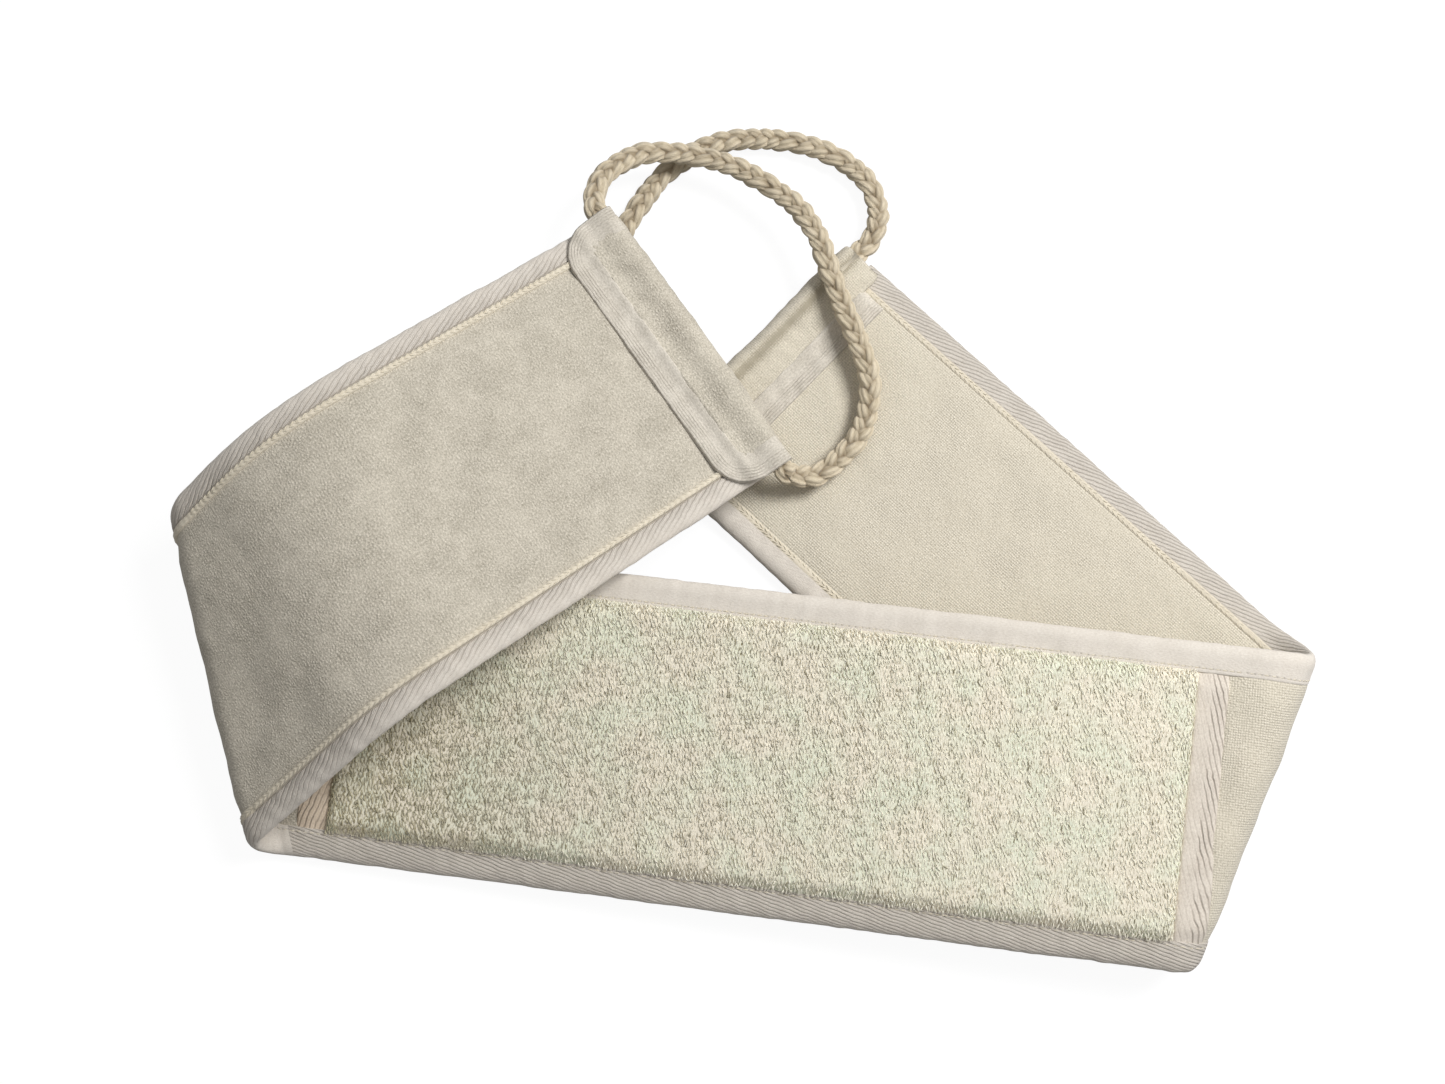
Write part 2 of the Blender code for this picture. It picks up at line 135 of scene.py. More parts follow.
# The hem at each end of the strap.
TUNNEL_RADIUS = 3.9 * MM
TUNNEL_DEPTH = 8 * MM  # how far into each mouth the tunnel is drawn
HEM_RADIUS = 5.1 * MM
HEM_FACE = 4.9 * MM
HEM_START = 10.7 * MM
FLAP_SLOPE_END = 13 * MM
FLAP_END = 15.5 * MM
TUNNEL_HEIGHT = CLOTH_FACE - HEM_RADIUS
HEM_HALF = 47.5 * MM
HEM_TAPE_WIDTH = 9 * MM
HEM_TAPE = 0.6 * MM
LEFT_CORNER = 13 * MM  # the left hem's tape has round corners
RIGHT_SEAM = 6 * MM  # a crease in the right flap beside the rope, darkened with painted shade
SEAM_HALF = 1.8 * MM

Row = namedtuple("Row", "upper lower")
Bend = namedtuple("Bend", "upper lower turn")
RIGHT_BEND = Bend((161 * MM, 208 * MM), (138 * MM, 165 * MM), math.radians(181.5))
LEFT_BEND = Bend((-169.5 * MM, -198.5 * MM), (-134 * MM, -154 * MM), math.radians(158))
ARCH = Bend((-213 * MM, -262 * MM), (-200 * MM, -240 * MM), math.radians(42))  # of the left arm
CREASES = 24  # in each bend, over which it turns
FOLD_MARGIN = 0.12  # share of a bend by which a fold piece runs on past it

# The plaited ropes.
STRANDS = 3
PLAIT = 16 * MM  # length in which a strand comes back to its place
PLAIT_WIDTH = 1.55 * MM  # how far a strand's middle swings to each side
PLAIT_DEPTH = 0.85 * MM
STRAND_WIDTH = 2.15 * MM  # half the width of a strand
STRAND_DEPTH = 1.65 * MM
STRAND_SIDES = 36
STRAND_ROUND = 10 * MM  # the width given to the unrolled surface of a strand
YARNS = 6  # in each strand
YARN_TURN = 20 * MM  # length in which a yarn goes once round its strand
YARN_RELIEF = 0.06  # as a share of the strand
HOLLOW_SHADE = 1.5 * MM  # painted shade darkens the plait up to here from its middle
HOLLOW_SHADE_SLOPE = 1.6 * MM

# The ends of a rope in its tunnel, and the places in mm that it passes from mouth to mouth.
ROPE_END = 1.5 * MM
ROPE_MOUTH = 2.5 * MM
LEFT_ROUTE = (
    (10.6, 27.7, 14.4), (15.9, 28.4, 12), (21.4, 31.4, 10.4), (27.4, 38.3, 9.9),
    (31.6, 46.2, 9.9), (33.1, 55, 10.2), (32.1, 63.8, 10.8), (28.7, 72.4, 11.7),
    (20.1, 87.6, 13.4), (14.9, 97.4, 14.4), (11.1, 106.2, 14.4), (5.1, 115, 14),
    (-4.9, 123.2, 12.8), (-21.9, 131, 11.6), (-37.6, 133, 11.6), (-51.6, 130.4, 13.6),
    (-60.6, 123, 16.4), (-64.2, 115.4, 19), (-64.4, 109, 21.2),
)
RIGHT_ROUTE = (
    (28.3, 114.8, 5), (29, 124.6, 4.4), (23.8, 135.2, 3.8), (11.1, 142.8, 3.8),
    (-3.1, 145.6, 3.8), (-20.1, 144.2, 3.8), (-33.1, 139, 3.8), (-43.9, 128.6, 3.8),
    (-50.9, 116.6, 3.8), (-55.9, 103.4, 3.8), (-58.1, 85.6, 3.8), (-57.7, 67.6, 3.8),
    (-55.5, 52.6, 3.8), (-52.3, 39.6, 3.8), (-47.6, 28.8, 4.2), (-41.8, 23.2, 4.7),
    (-38, 23.8, 5),
)

# The loofah's fibres: how long, thick and arched they are, in mm.
FIBRES = 26000
FIBRE_LENGTH = 1.3, 3.0
FIBRE_THICKNESS = 0.13, 0.24
FIBRE_ARCH = 0.1, 0.7
FIBRE_RINGS = 4
FIBRE_SIDES = 3
EVEN_COVER = (0.75488, 0.56984)  # steps that spread points evenly over a square

# Along the pad: where its painted shade stops, where it stops being worn, and where its painted light
# starts.
PAINTED_SHADE_END, PAINTED_SHADE_SLOPE = LOOFAH_START + 110 * MM, 90 * MM
WORN_END, WORN_SLOPE = LOOFAH_START + 70 * MM, 70 * MM
PAINTED_LIGHT_START, PAINTED_LIGHT_SLOPE = -20 * MM, 140 * MM

# The camera: its place and its lens in mm, and the directions to its right and ahead.
CAMERA_PLACE = -2.2, -88.4, 511.9
CAMERA_RIGHT = 0.99205, 0.12540, 0.01015
CAMERA_AHEAD = -0.01277, 0.18057, -0.98348
CAMERA_LENS = 39.57

# Each light: its place and its size in metres, and its power in watts.
KEY = (0.54, 0.42, 0.82), 0.45, 11.0
FILL = (-0.3, -0.1, 0.85), 0.6, 0.6
WORLD_LIGHT = 0.25
FLOOR_SIZE = 6
FLOOR_DROP = 0.4 * MM  # under the strap
FLOOR_GLOW = 1.08
FLOOR_GLOW_SHARE = 0.86  # of what is seen of it


def mix(start, end, share):
    return start + (end - start) * share


def ease(x):
    """0 below 0, 1 above 1, and smooth in between."""
    x = np.clip(x, 0, 1)
    return x * x * (3 - 2 * x)


def unit(vectors):
    """The same directions with length 1."""
    return vectors / np.maximum(np.linalg.norm(vectors, axis=-1, keepdims=True), TINY)


def spread(*parts):
    """Arrays spread over one grid, with their numbers side by side in it."""
    return np.stack(np.broadcast_arrays(*parts), -1)


def travelled_along(line):
    """The distance of each point of a line from its first, along the line."""
    return np.concatenate([[0], np.cumsum(np.linalg.norm(np.diff(line, axis=0), axis=1))])


def points_at(line, travelled, where):
    """Points of a line at given distances from its first one."""
    return np.stack([np.interp(where, travelled, line[:, k]) for k in range(3)], -1)


# --- the folded strap


def square(s):
    return Row(s, s)


def bend_row(bend, share):
    return Row(mix(*bend.upper, share), mix(*bend.lower, share))


def along(row, w):
    return mix(row.lower, row.upper, (w + HALF_WIDTH) / (2 * HALF_WIDTH))


def from_end(end, t):
    """s at the distance t from an end of the strap."""
    return end - math.copysign(1, end) * t


def crease_frames(bends):
    """For each bend, the matrices of the strap after 0, 1, 2 ... of its creases."""
    frames = []
    matrix = Matrix.Identity(4)
    for bend in bends:
        turned = [matrix]
        for k in range(CREASES):
            row = bend_row(bend, (k + 0.5) / CREASES)
            low, high = Vector((row.lower, -HALF_WIDTH, 0)), Vector((row.upper, HALF_WIDTH, 0))
            turn = Matrix.Rotation(bend.turn / CREASES, 4, (high - low).normalized())
            matrix = matrix @ Matrix.Translation(low) @ turn @ Matrix.Translation(-low)
            turned.append(matrix)
        frames.append(np.array([np.array(m) for m in turned]))
    return frames


BENDS = RIGHT_BEND, LEFT_BEND, ARCH
FRAMES = crease_frames(BENDS[:1]) + crease_frames(BENDS[1:])  # each arm from the panel


def on_panel(s, w, h):
    """Places of flat points on the folded strap, seen from the flat panel."""
    s, w, h = (np.array(x, float) for x in np.broadcast_arrays(s, w, h))
    points = np.stack([s, w, h], -1)
    for bend, frames in zip(BENDS, FRAMES):
        start, end = along(bend_row(bend, 0), w), along(bend_row(bend, 1), w)
        passed = (s - start) / (end - start) * CREASES
        bent = passed > 0
        passed = np.minimum(passed[bent], CREASES)
        whole = np.floor(passed + 0.5).astype(int)
        row = bend_row(bend, passed / CREASES)
        slant = row.upper - row.lower
        size = np.hypot(slant, 2 * HALF_WIDTH)
        rest = (passed - whole) * bend.turn / CREASES
        lean = np.sin(rest) * h[bent]
        local = spread(s[bent] + 2 * HALF_WIDTH / size * lean, w[bent] - slant / size * lean,
                       np.cos(rest) * h[bent], 1.0)
        points[bent] = np.einsum("nij,nj->ni", frames[whole][:, :3], local)
    return points


def laid_down():
    """World matrix of the panel that lays the right arm flat on the ground."""
    arm = FRAMES[0][-1][:3, :3]
    up = -arm[:, 2]
    forward = unit(np.array((1, 0, 0)) - up * up[0])
    turn = np.array((forward, np.cross(up, forward), up))
    s = np.arange(int(LEFT_END / MM), int(RIGHT_END / MM))[:, None] * MM
    outline = (on_panel(s, (-HALF_WIDTH, HALF_WIDTH), 0) @ turn.T).reshape(-1, 3)
    middle = (outline.min(0) + outline.max(0)) / 2
    ground = turn @ on_panel(RIGHT_END, 0, CLOTH_FACE)
    return turn, np.array((-middle[0], -middle[1], -ground[2]))


TURN, SHIFT = laid_down()


def folded(s, w, h):
    return on_panel(s, w, h) @ TURN.T + SHIFT


# --- meshes


def placed(name, data):
    """A new object in the scene."""
    obj = bpy.data.objects.new(name, data)
    bpy.context.collection.objects.link(obj)
    return obj


def inside_out(points, faces, outward):
    """Whether the faces look against outward, given for each point."""
    a, b, c = (points[faces[:, k]] for k in range(3))
    return (np.cross(b - a, c - a) * outward[faces[:, 0]]).sum() < 0


def mesh_object(name, points, faces, uv, material, outward=None, unwrapped=None, **values):
    """A smooth mesh, turned so that its faces look outward, given for each point. uv holds a
    pair in metres for each point, or for each of the corner numbers in unwrapped."""
    points = points.reshape(-1, 3)
    unwrapped = faces if unwrapped is None else unwrapped
    if outward is not None and inside_out(points, faces, outward.reshape(-1, 3)):
        faces, unwrapped = faces[:, ::-1], unwrapped[:, ::-1]
    mesh = bpy.data.meshes.new(name)
    mesh.from_pydata(points.tolist(), [], faces.tolist())
    corners = uv.reshape(-1, 2)[unwrapped.ravel()] / MM
    mesh.uv_layers.new(name="UVMap").data.foreach_set("uv", corners.astype(np.float32).ravel())
    for key, value in values.items():
        mesh.attributes.new(key, "FLOAT", "POINT").data.foreach_set(
            "value", np.asarray(value, np.float32).ravel())
    mesh.shade_smooth()
    mesh.materials.append(material)
    return placed(name, mesh)


def grid_faces(rows, columns, closed=False):
    """Corner numbers of the faces of a grid, and the same with an unwrapped last column."""
    r = np.arange(rows - 1)[:, None]
    c = np.arange(columns if closed else columns - 1)[None, :]
    def corners(width, wrap):
        n = (c + 1) % columns if wrap else c + 1
        return spread(r * width + c, r * width + n, (r + 1) * width + n,
                      (r + 1) * width + c).reshape(-1, 4)
    return corners(columns, True), corners(columns + 1 if closed else columns, False)


def tube_faces(rings, sides, count):
    """Corner numbers of the faces of many open tubes, and the same unwrapped."""
    one, unwrapped = grid_faces(rings, sides, closed=True)
    number = np.arange(count)[:, None, None]
    return ((one + number * rings * sides).reshape(-1, 4),
            (unwrapped + number * rings * (sides + 1)).reshape(-1, 4))


def end_faces(row, columns, width):
    """Faces that close the end of a section whose second half runs back along its first."""
    i = np.arange(columns // 2 - 1)
    return row * width + np.stack([i, i + 1, columns - 2 - i, columns - 1 - i], -1)


def skin(name, s, w, h, normal_w, normal_h, v, material, relief=0.0, run=None, closed=False,
         capped=False):
    """A grid over the strap, with its normals in the plane across it. The weave follows v, the
    distance round the section, and run, the one along it, which is s if not given.
    A closed one comes round to where it starts; a capped one has a face at its last end."""
    run = s if run is None else run
    s, w, h, nw, nh, run, v = np.broadcast_arrays(s, w, h, normal_w, normal_h, run, v)
    points = folded(s, w + nw * relief, h + nh * relief)
    ahead = folded(s, w + nw * (relief + MM), h + nh * (relief + MM))
    rows, columns = s.shape
    faces, unwrapped = grid_faces(rows, columns, closed)
    if capped:
        faces = np.concatenate([faces, end_faces(rows - 1, columns, columns)])
        unwrapped = np.concatenate([unwrapped, end_faces(rows - 1, columns, columns + closed)])
    if closed:
        run = np.concatenate([run, run[:, :1]], 1)
        v = np.concatenate([v, v[:, -1:] + abs(v[:, -1:] - v[:, -2:-1])], 1)
    return mesh_object(name, points, faces, spread(run, v), material, ahead - points, unwrapped)


def outline_normals(x, h):
    """Unit normals of an outline, and the distance of each of its points along it."""
    dx, dh = np.gradient(x), np.gradient(h)
    size = np.hypot(dx, dh) + TINY
    return -dh / size, dx / size, travelled_along(spread(x, h))


def ripples(seed, low, high, count=9):
    """A smooth uneven surface between about -1 and 1, with waves of low to high metres."""
    chance = np.random.default_rng(seed)
    length = np.exp(chance.uniform(math.log(low), math.log(high), count))
    angle, phase = chance.uniform(0, math.tau, (2, count))
    def at(x, y):
        waves = (np.sin(math.tau * (x * math.cos(turn) + y * math.sin(turn)) / long + start)
                 for turn, long, start in zip(angle, length, phase))
        return sum(waves) / math.sqrt(count)
    return at


SOFT = ripples(3, 16 * MM, 60 * MM)
FINE = ripples(5, 5 * MM, 14 * MM)


def between(first, last, spacing):
    """Rows from one line across the strap to another."""
    first, last = np.array(first), np.array(last)
    steps = max(2, math.ceil(abs(last - first).max() / spacing))
    return [Row(*mix(first, last, k / steps)) for k in range(steps + 1)]


def chain(*lines, spacing):
    """Rows along the strap through several lines across it."""
    rows = between(lines[0], lines[1], spacing)
    for near, far in zip(lines[1:], lines[2:]):
        rows += between(near, far, spacing)[1:]
    return rows


def places(rows, w):
    """s of each row, for each w."""
    return along(Row(*np.array(rows).T[..., None]), w)


# Where the pieces of the strap meet.
RIGHT_FOLD, LEFT_FOLD = ([bend_row(bend, share) for share in (-FOLD_MARGIN, 0, 1, 1 + FOLD_MARGIN)]
                         for bend in (RIGHT_BEND, LEFT_BEND))
STRETCHES = {
    "right_arm": [RIGHT_FOLD[-1], square(RIGHT_END - HEM_START)],
    "right_fold": RIGHT_FOLD,
    "panel": [LEFT_FOLD[0], RIGHT_FOLD[0]],
    "left_fold": LEFT_FOLD,
    "left_arm": [LEFT_FOLD[-1], bend_row(ARCH, 0), bend_row(ARCH, 1), square(LEFT_END + HEM_START)],
}
# A fold turns from the one body to the other.
FOLD_TURN = {"right_fold": ("panel", "right_arm"), "left_fold": ("panel", "left_arm")}


def turn_points(stretch):
    """Where the cloth of a fold starts to turn with the arm, and where it has turned. The way
    from one to the other is square to the hinge, and ends inside the narrow end of the bend."""
    hinge = next(Vector(joint["axis"]) for joint in frame["joints"] if joint["name"] == stretch)
    bend, inner = (LEFT_BEND, 1) if stretch == "left_fold" else (RIGHT_BEND, -1)
    start = Vector(folded(bend_row(bend, 0.5).lower, -HALF_WIDTH, 0))
    end = Vector(folded(bend_row(bend, 1).lower, -HALF_WIDTH, inner * (CLOTH_FACE + MM)))
    upright = Vector((0, 0, 1)) - hinge.z * hinge
    return start, start + (end - start).project(upright)


def hang(obj, stretch, slot, *replaced):
    """Hangs a piece of a stretch of the strap on its body, or leaves a fold's piece baked
    where it lies, and hides the parts that it stands for."""
    if stretch in FOLD_TURN:
        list(turn_points(stretch))
        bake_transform(obj)
    else:
        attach(obj, stretch)
    if replaced:
        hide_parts(*replaced)


# --- materials

# Colours, from dark to pale.
COTTON_TONES = (0.33, 0.295, 0.23, 1), (0.76, 0.70, 0.59, 1)
WOVEN_TONES = (0.44, 0.39, 0.295, 1), (0.86, 0.795, 0.665, 1)
BINDING_TONES = (0.60, 0.54, 0.465, 1), (0.80, 0.745, 0.67, 1)
RIDGE_TONES = (0.60, 0.53, 0.41, 1), (0.80, 0.73, 0.60, 1)
# Painted shade for the grooves of the bindings.
BINDING_GROOVE_SHADE = (0.24, 0.195, 0.145, 1)
LEFT_TWILL_TONES = (0.60, 0.475, 0.35, 1), (0.86, 0.73, 0.58, 1)
RIGHT_TWILL_TONES = (0.58, 0.505, 0.425, 1), (0.84, 0.77, 0.675, 1)
HEM_TWILL_TONES = (0.40, 0.36, 0.295, 1), (0.78, 0.725, 0.635, 1)
# Painted shade for the grooves of the twill tapes.
TWILL_GROOVE_SHADE = (0.30, 0.24, 0.18, 1)
# Painted shade for the pits of the loofah's mat and between its strands.
MAT_PIT_SHADE, MAT_SHADE = (0.16, 0.13, 0.05, 1), (0.44, 0.39, 0.27, 1)
MAT_CREAM, MAT_GREEN = (0.88, 0.81, 0.67, 1), (0.80, 0.82, 0.66, 1)
FIBRE_TONES = (0.60, 0.56, 0.45, 1), (0.98, 0.935, 0.81, 1)
FIBRE_GREEN, FIBRE_WORN = (0.86, 0.88, 0.73, 1), (0.56, 0.47, 0.22, 1)
# Painted shade at the sunken ends of the fibres, and the colour of their dark specks.
FIBRE_SPECK_AND_SHADE = (0.30, 0.265, 0.16, 1)
ROPE_TONES = (0.52, 0.43, 0.29, 1), (0.81, 0.71, 0.54, 1)
# Painted shade for the hollows of the braid.
ROPE_HOLLOW_SHADE = (0.24, 0.175, 0.10, 1)
THREAD_TONES = (0.62, 0.555, 0.43, 1), (0.80, 0.74, 0.61, 1)
FLOOR_SEEN, FLOOR_UNSEEN = (0.9, 0.9, 0.9, 1), (0.35, 0.35, 0.35, 1)


def add(tree, kind, inputs=None, **settings):
    """A node with its inputs set or, where a socket is given, linked."""
    node = tree.nodes.new("ShaderNode" + kind)
    for key, value in settings.items():
        setattr(node, key, value)
    for key, value in (inputs or {}).items():
        if isinstance(value, bpy.types.NodeSocket):
            tree.links.new(value, node.inputs[key])
        else:
            node.inputs[key].default_value = value
    return node


def maths(operation, a, b=0.0, c=0.0):
    return add(a.id_data, "Math", {0: a, 1: b, 2: c}, operation=operation).outputs[0]


def times(a, b, plus=None):
    """a times b and, if it is given, plus a third value."""
    if plus is None:
        return maths("MULTIPLY", a, b)
    return maths("MULTIPLY_ADD", a, b, plus)


def scaled(vector, size):
    inputs = {0: vector, 1: size}
    return add(vector.id_data, "VectorMath", inputs, operation="MULTIPLY").outputs[0]


def noise(vector, scale, detail=2.0, roughness=0.5):
    return add(vector.id_data, "TexNoise", {"Vector": vector, "Scale": scale, "Detail": detail,
                                            "Roughness": roughness}).outputs["Fac"]


def threads(flat, x, y, scale=1.0, detail=3, roughness=0.7):
    """Uneven threads, finer along the piece the larger x is, and across it the larger y is."""
    return noise(scaled(flat, (x, y, 1)), scale, detail, roughness)


def remap(value, low, high, to_low=0.0, to_high=1.0):
    inputs = {0: value, 1: low, 2: high, 3: to_low, 4: to_high}
    return add(value.id_data, "MapRange", inputs).outputs[0]


def varied(tone, pattern, reach, low=0.3, high=0.7):
    """A tone made darker and paler by up to reach, as a pattern goes from low to high."""
    return maths("ADD", tone, remap(pattern, low, high, -reach, reach))


def wobble(flat, scale, reach):
    return remap(noise(flat, scale, 2), 0, 1, -reach, reach)


def stripes(phase, reach, strength=1.0, core=0.0):
    """Lines on each whole number of a phase, full up to core from it and gone at reach."""
    return remap(maths("PINGPONG", phase, 0.5), core, reach, strength, 0.0)


def blend(share, first, second):
    """A colour between two others."""
    inputs = {"Factor": share, 6: first, 7: second}
    return add(share.id_data, "Mix", inputs, data_type="RGBA").outputs[2]


def attribute(material, name):
    return add(material.node_tree, "Attribute", attribute_name=name).outputs["Fac"]


def ways(flat):
    """The distances along a piece and across it."""
    split = add(flat.id_data, "SeparateXYZ", {0: flat})
    return split.outputs["X"], split.outputs["Y"]


def surface(name, roughness, sheen=0.0, specular=0.15):
    """A new material, and the coordinates on a piece in mm."""
    material = bpy.data.materials.new(name)
    material.use_nodes = True
    inputs = material.node_tree.nodes["Principled BSDF"].inputs
    inputs["Roughness"].default_value = roughness
    inputs["Specular IOR Level"].default_value = specular
    inputs["Sheen Weight"].default_value = sheen
    inputs["Sheen Roughness"].default_value = 0.6
    return material, add(material.node_tree, "UVMap", uv_map="UVMap").outputs[0]


def dress(material, colour, height=None, depth=0.0, strength=1.0):
    """Gives a material its colour and, if there is one, its relief."""
    tree = material.node_tree
    shader = tree.nodes["Principled BSDF"]
    tree.links.new(colour, shader.inputs["Base Color"])
    if height:
        bump = add(tree, "Bump", {"Height": height, "Distance": depth, "Strength": strength})
        tree.links.new(bump.outputs[0], shader.inputs["Normal"])
    return material


def cloth_material(name, tones, loops, jitter, pinholes, grain, mottled, far_tones=None):
    """Cotton cloth: rows of small loops or holes in a nap of fine fibres. Along the loofah its
    tones may turn into others, by the right end."""
    material, flat = surface(name, 0.95, sheen=0.2)
    patches = noise(flat, 0.07, 4, 0.6)
    clouds = noise(flat, 0.22, 4, 0.65)
    nap = threads(flat, 1.8, 1.35)
    cells = add(flat.id_data, "TexVoronoi", {"Vector": scaled(flat, loops), "Scale": 1.0,
                                             "Randomness": jitter}).outputs["Distance"]
    loop = remap(cells, 0.12, 0.62, 1.0, 0.0)
    loop = times(loop, remap(patches, 0.35, 0.6, 0.45, 1.0))
    tone = times(loop, pinholes, 0.60 - 0.4 * pinholes)
    tone = varied(tone, clouds, mottled)
    tone = varied(tone, nap, grain)
    tone = varied(tone, patches, -mottled, 0.35, 0.65)
    # Painted shade darkens the crease of the right flap, where the hem gives it.
    tone = times(attribute(material, "rubbed"), -0.75, tone)
    if far_tones:
        run, _ = ways(flat)
        share = remap(run, LOOFAH_START / MM, LOOFAH_END / MM)
        tones = [blend(share, near, far) for near, far in zip(tones, far_tones)]
    height = times(nap, 1.2, loop)
    return dress(material, blend(tone, *tones), height, 0.35 * MM, 0.6)


def binding_material(name, side, tape):
    """Tape round an edge: on the back a stitched ridge and puckers that run out from it,
    on the front nearly smooth with a row of needle holes. v is 0 on the long edge itself."""
    material, flat = surface(name, 0.92, sheen=0.2)
    s, v = ways(flat)
    phase = times(v, -side * tape.lean / tape.pitch, wobble(flat, 0.16, 0.5))
    phase = times(s, 1 / tape.pitch, phase)
    finer = stripes(times(phase, 3.0), 0.4, 0.4)
    valley = maths("MAXIMUM", stripes(phase, 0.25), finer)
    near = times(remap(v, 1.5, RIDGE_START, tape.edge_ribs, tape.ribs),
                 maths("LESS_THAN", v, RIDGE_START))
    crease = times(valley, times(near, remap(v, -1.0, 1.5)))
    border = maths("ABSOLUTE", maths("SUBTRACT", v, RIDGE_START))
    crease = maths("MAXIMUM", crease, remap(border, 0.1, 0.4, 0.8 * tape.ridge, 0.0))
    front = remap(v, 0.0, -2.0, 0.0, tape.front)
    crease = maths("MAXIMUM", crease, times(valley, front))
    holes = remap(maths("PINGPONG", s, STITCH / MM / 2), 0.0, 0.5, 1.0, 0.2)
    row = remap(maths("ABSOLUTE", maths("ADD", v, HOLES)), 0.1, 0.4, 0.45, 0.0)
    crease = maths("MAXIMUM", crease, times(row, holes))
    yarn = threads(flat, 1.1, 2.2)
    tone = varied(remap(yarn, 0.3, 0.7, 0.25, 0.95), noise(flat, 0.15, 3), 0.12)
    weave, cream = (blend(tone, *tones) for tones in (BINDING_TONES, RIDGE_TONES))
    colour = blend(maths("GREATER_THAN", v, RIDGE_START), weave, cream)
    # Painted shade darkens the valleys between the ribs, the ridge's border and the needle holes.
    colour = blend(times(crease, 0.75), colour, BINDING_GROOVE_SHADE)
    height = maths("SUBTRACT", times(yarn, 0.35), crease)
    return dress(material, colour, height, 0.45 * MM, 0.8)


def twill_material(name, tones, pitch, slant, near, far):
    """Flat tape with its x across it: ribs of one strength on the near half, of another
    on the far one."""
    material, flat = surface(name, 0.92, sheen=0.15)
    run, x = ways(flat)
    phase = times(x, math.cos(slant) / pitch, wobble(flat, 0.25, 0.35))
    phase = times(run, math.sin(slant) / pitch, phase)
    part = remap(x, 4.2, 5.0, near, far)
    fade = remap(noise(flat, 0.12, 2), 0.35, 0.6, 0.35, 1.0)
    crease = times(times(stripes(phase, 0.25), part), fade)
    yarn = threads(flat, 1.2, 1.8)
    tone = varied(remap(yarn, 0.3, 0.7, 0.2, 0.95), noise(flat, 0.15, 3), 0.15)
    colour = blend(tone, *tones)
    # Painted shade darkens the grooves between the ribs.
    colour = blend(times(crease, 0.6), colour, TWILL_GROOVE_SHADE)
    height = maths("SUBTRACT", times(yarn, 0.3), crease)
    return dress(material, colour, height, 0.4 * MM, 0.8)


def loofah_material():
    """Matted plant fibre, with painted shade between its strands and in the small pits among them."""
    material, flat = surface("loofah_mat", 0.9)
    strands = threads(flat, 2.2, 0.6, roughness=0.5)
    pits = threads(flat, 1.0, 0.5, 1.2, 2, 0.5)
    green = remap(noise(flat, 0.06, 3), 0.42, 0.62)
    pale = blend(green, MAT_CREAM, MAT_GREEN)
    colour = blend(remap(strands, 0.3, 0.5), MAT_SHADE, pale)
    # Painted shade in the pits of the mat.
    colour = blend(remap(pits, 0.33, 0.27), colour, MAT_PIT_SHADE)
    height = times(strands, 0.6, pits)
    return dress(material, colour, height, 0.4 * MM, 0.5)


def fibre_material():
    """Short flat fibres, each of its own tint with painted light and shade, darker towards its sunken
    ends with painted shade, and a few dark specks.
    """
    material, flat = surface("loofah_fibre", 0.8)
    green = remap(noise(flat, 0.05, 3), 0.42, 0.62, 0.0, 0.3)
    colour = blend(attribute(material, "tint"), *FIBRE_TONES)
    colour = blend(green, colour, FIBRE_GREEN)
    colour = blend(attribute(material, "wear"), colour, FIBRE_WORN)
    colour = blend(attribute(material, "root"), colour, FIBRE_SPECK_AND_SHADE)
    return dress(material, colour)


def rope_material():
    """Soft cotton strands: fine twisted yarns, with painted shade in the hollows of the braid."""
    material, flat = surface("braided_cotton", 0.95, sheen=0.25)
    run, around = ways(flat)
    turn = times(around, YARNS * MM / STRAND_ROUND, times(run, MM / YARN_TURN))
    turn = maths("ADD", turn, wobble(flat, 0.6, 0.2))
    yarn = stripes(turn, 0.5, core=0.15)
    fuzz = threads(flat, 1.0, 3.0, 1.2)
    tone = times(yarn, 0.34, 0.28)
    tone = varied(tone, fuzz, 0.3)
    tone = varied(tone, noise(flat, 0.12, 3), 0.15)
    colour = blend(tone, *ROPE_TONES)
    # Painted shade in the hollows of the braid, near the rope's middle.
    colour = blend(attribute(material, "depth"), ROPE_HOLLOW_SHADE, colour)
    height = times(fuzz, 1.2, times(yarn, 0.6))
    return dress(material, colour, height, 0.35 * MM, 0.9)


def thread_material():
    """Cotton sewing thread."""
    material, flat = surface("sewing_thread", 0.8)
    return dress(material, blend(noise(flat, 1.5, 2), *THREAD_TONES))


COTTON = cloth_material("cotton_terry", COTTON_TONES, (1.15, 1.35, 1), 0.6, 0.25, 0.42, 0.10)
WOVEN = cloth_material("cotton_woven", WOVEN_TONES, (1.3, 1.3, 1), 0.2, 0.50, 0.32, 0.04)
PANEL_CLOTH = cloth_material("cotton_panel", COTTON_TONES, (1.2, 1.3, 1), 0.4, 0.38, 0.37, 0.07,
                             WOVEN_TONES)
CLOTHS = {"left": COTTON, "panel": PANEL_CLOTH, "right": WOVEN}
# Along the upper edge the puckers lean one way, along the lower edge the other.
BINDINGS = {(tape, side): binding_material(f"{look}_binding", side, tape)
            for look, tape, side in (("puckered_upper", PUCKERED, 1), ("puckered_lower", PUCKERED, -1),
                                     ("turned", TURNED, -1), ("rolled", ROLLED, -1),
                                     ("ribbed", RIBBED, 1), ("smooth", SMOOTH, -1))}
END_TWILLS = {name: twill_material(f"{name}_end_twill", tones, 1.6, math.radians(17), near, 1.0)
              for name, tones, near in (("left", LEFT_TWILL_TONES, 0.8),
                                        ("right", RIGHT_TWILL_TONES, 0.2))}
HEM_TWILL = twill_material("hem_twill", HEM_TWILL_TONES, 0.95, 0.0, 0.6, 0.05)
LOOFAH = loofah_material()
FIBRE = fibre_material()
ROPE = rope_material()
THREAD = thread_material()


# --- the camera


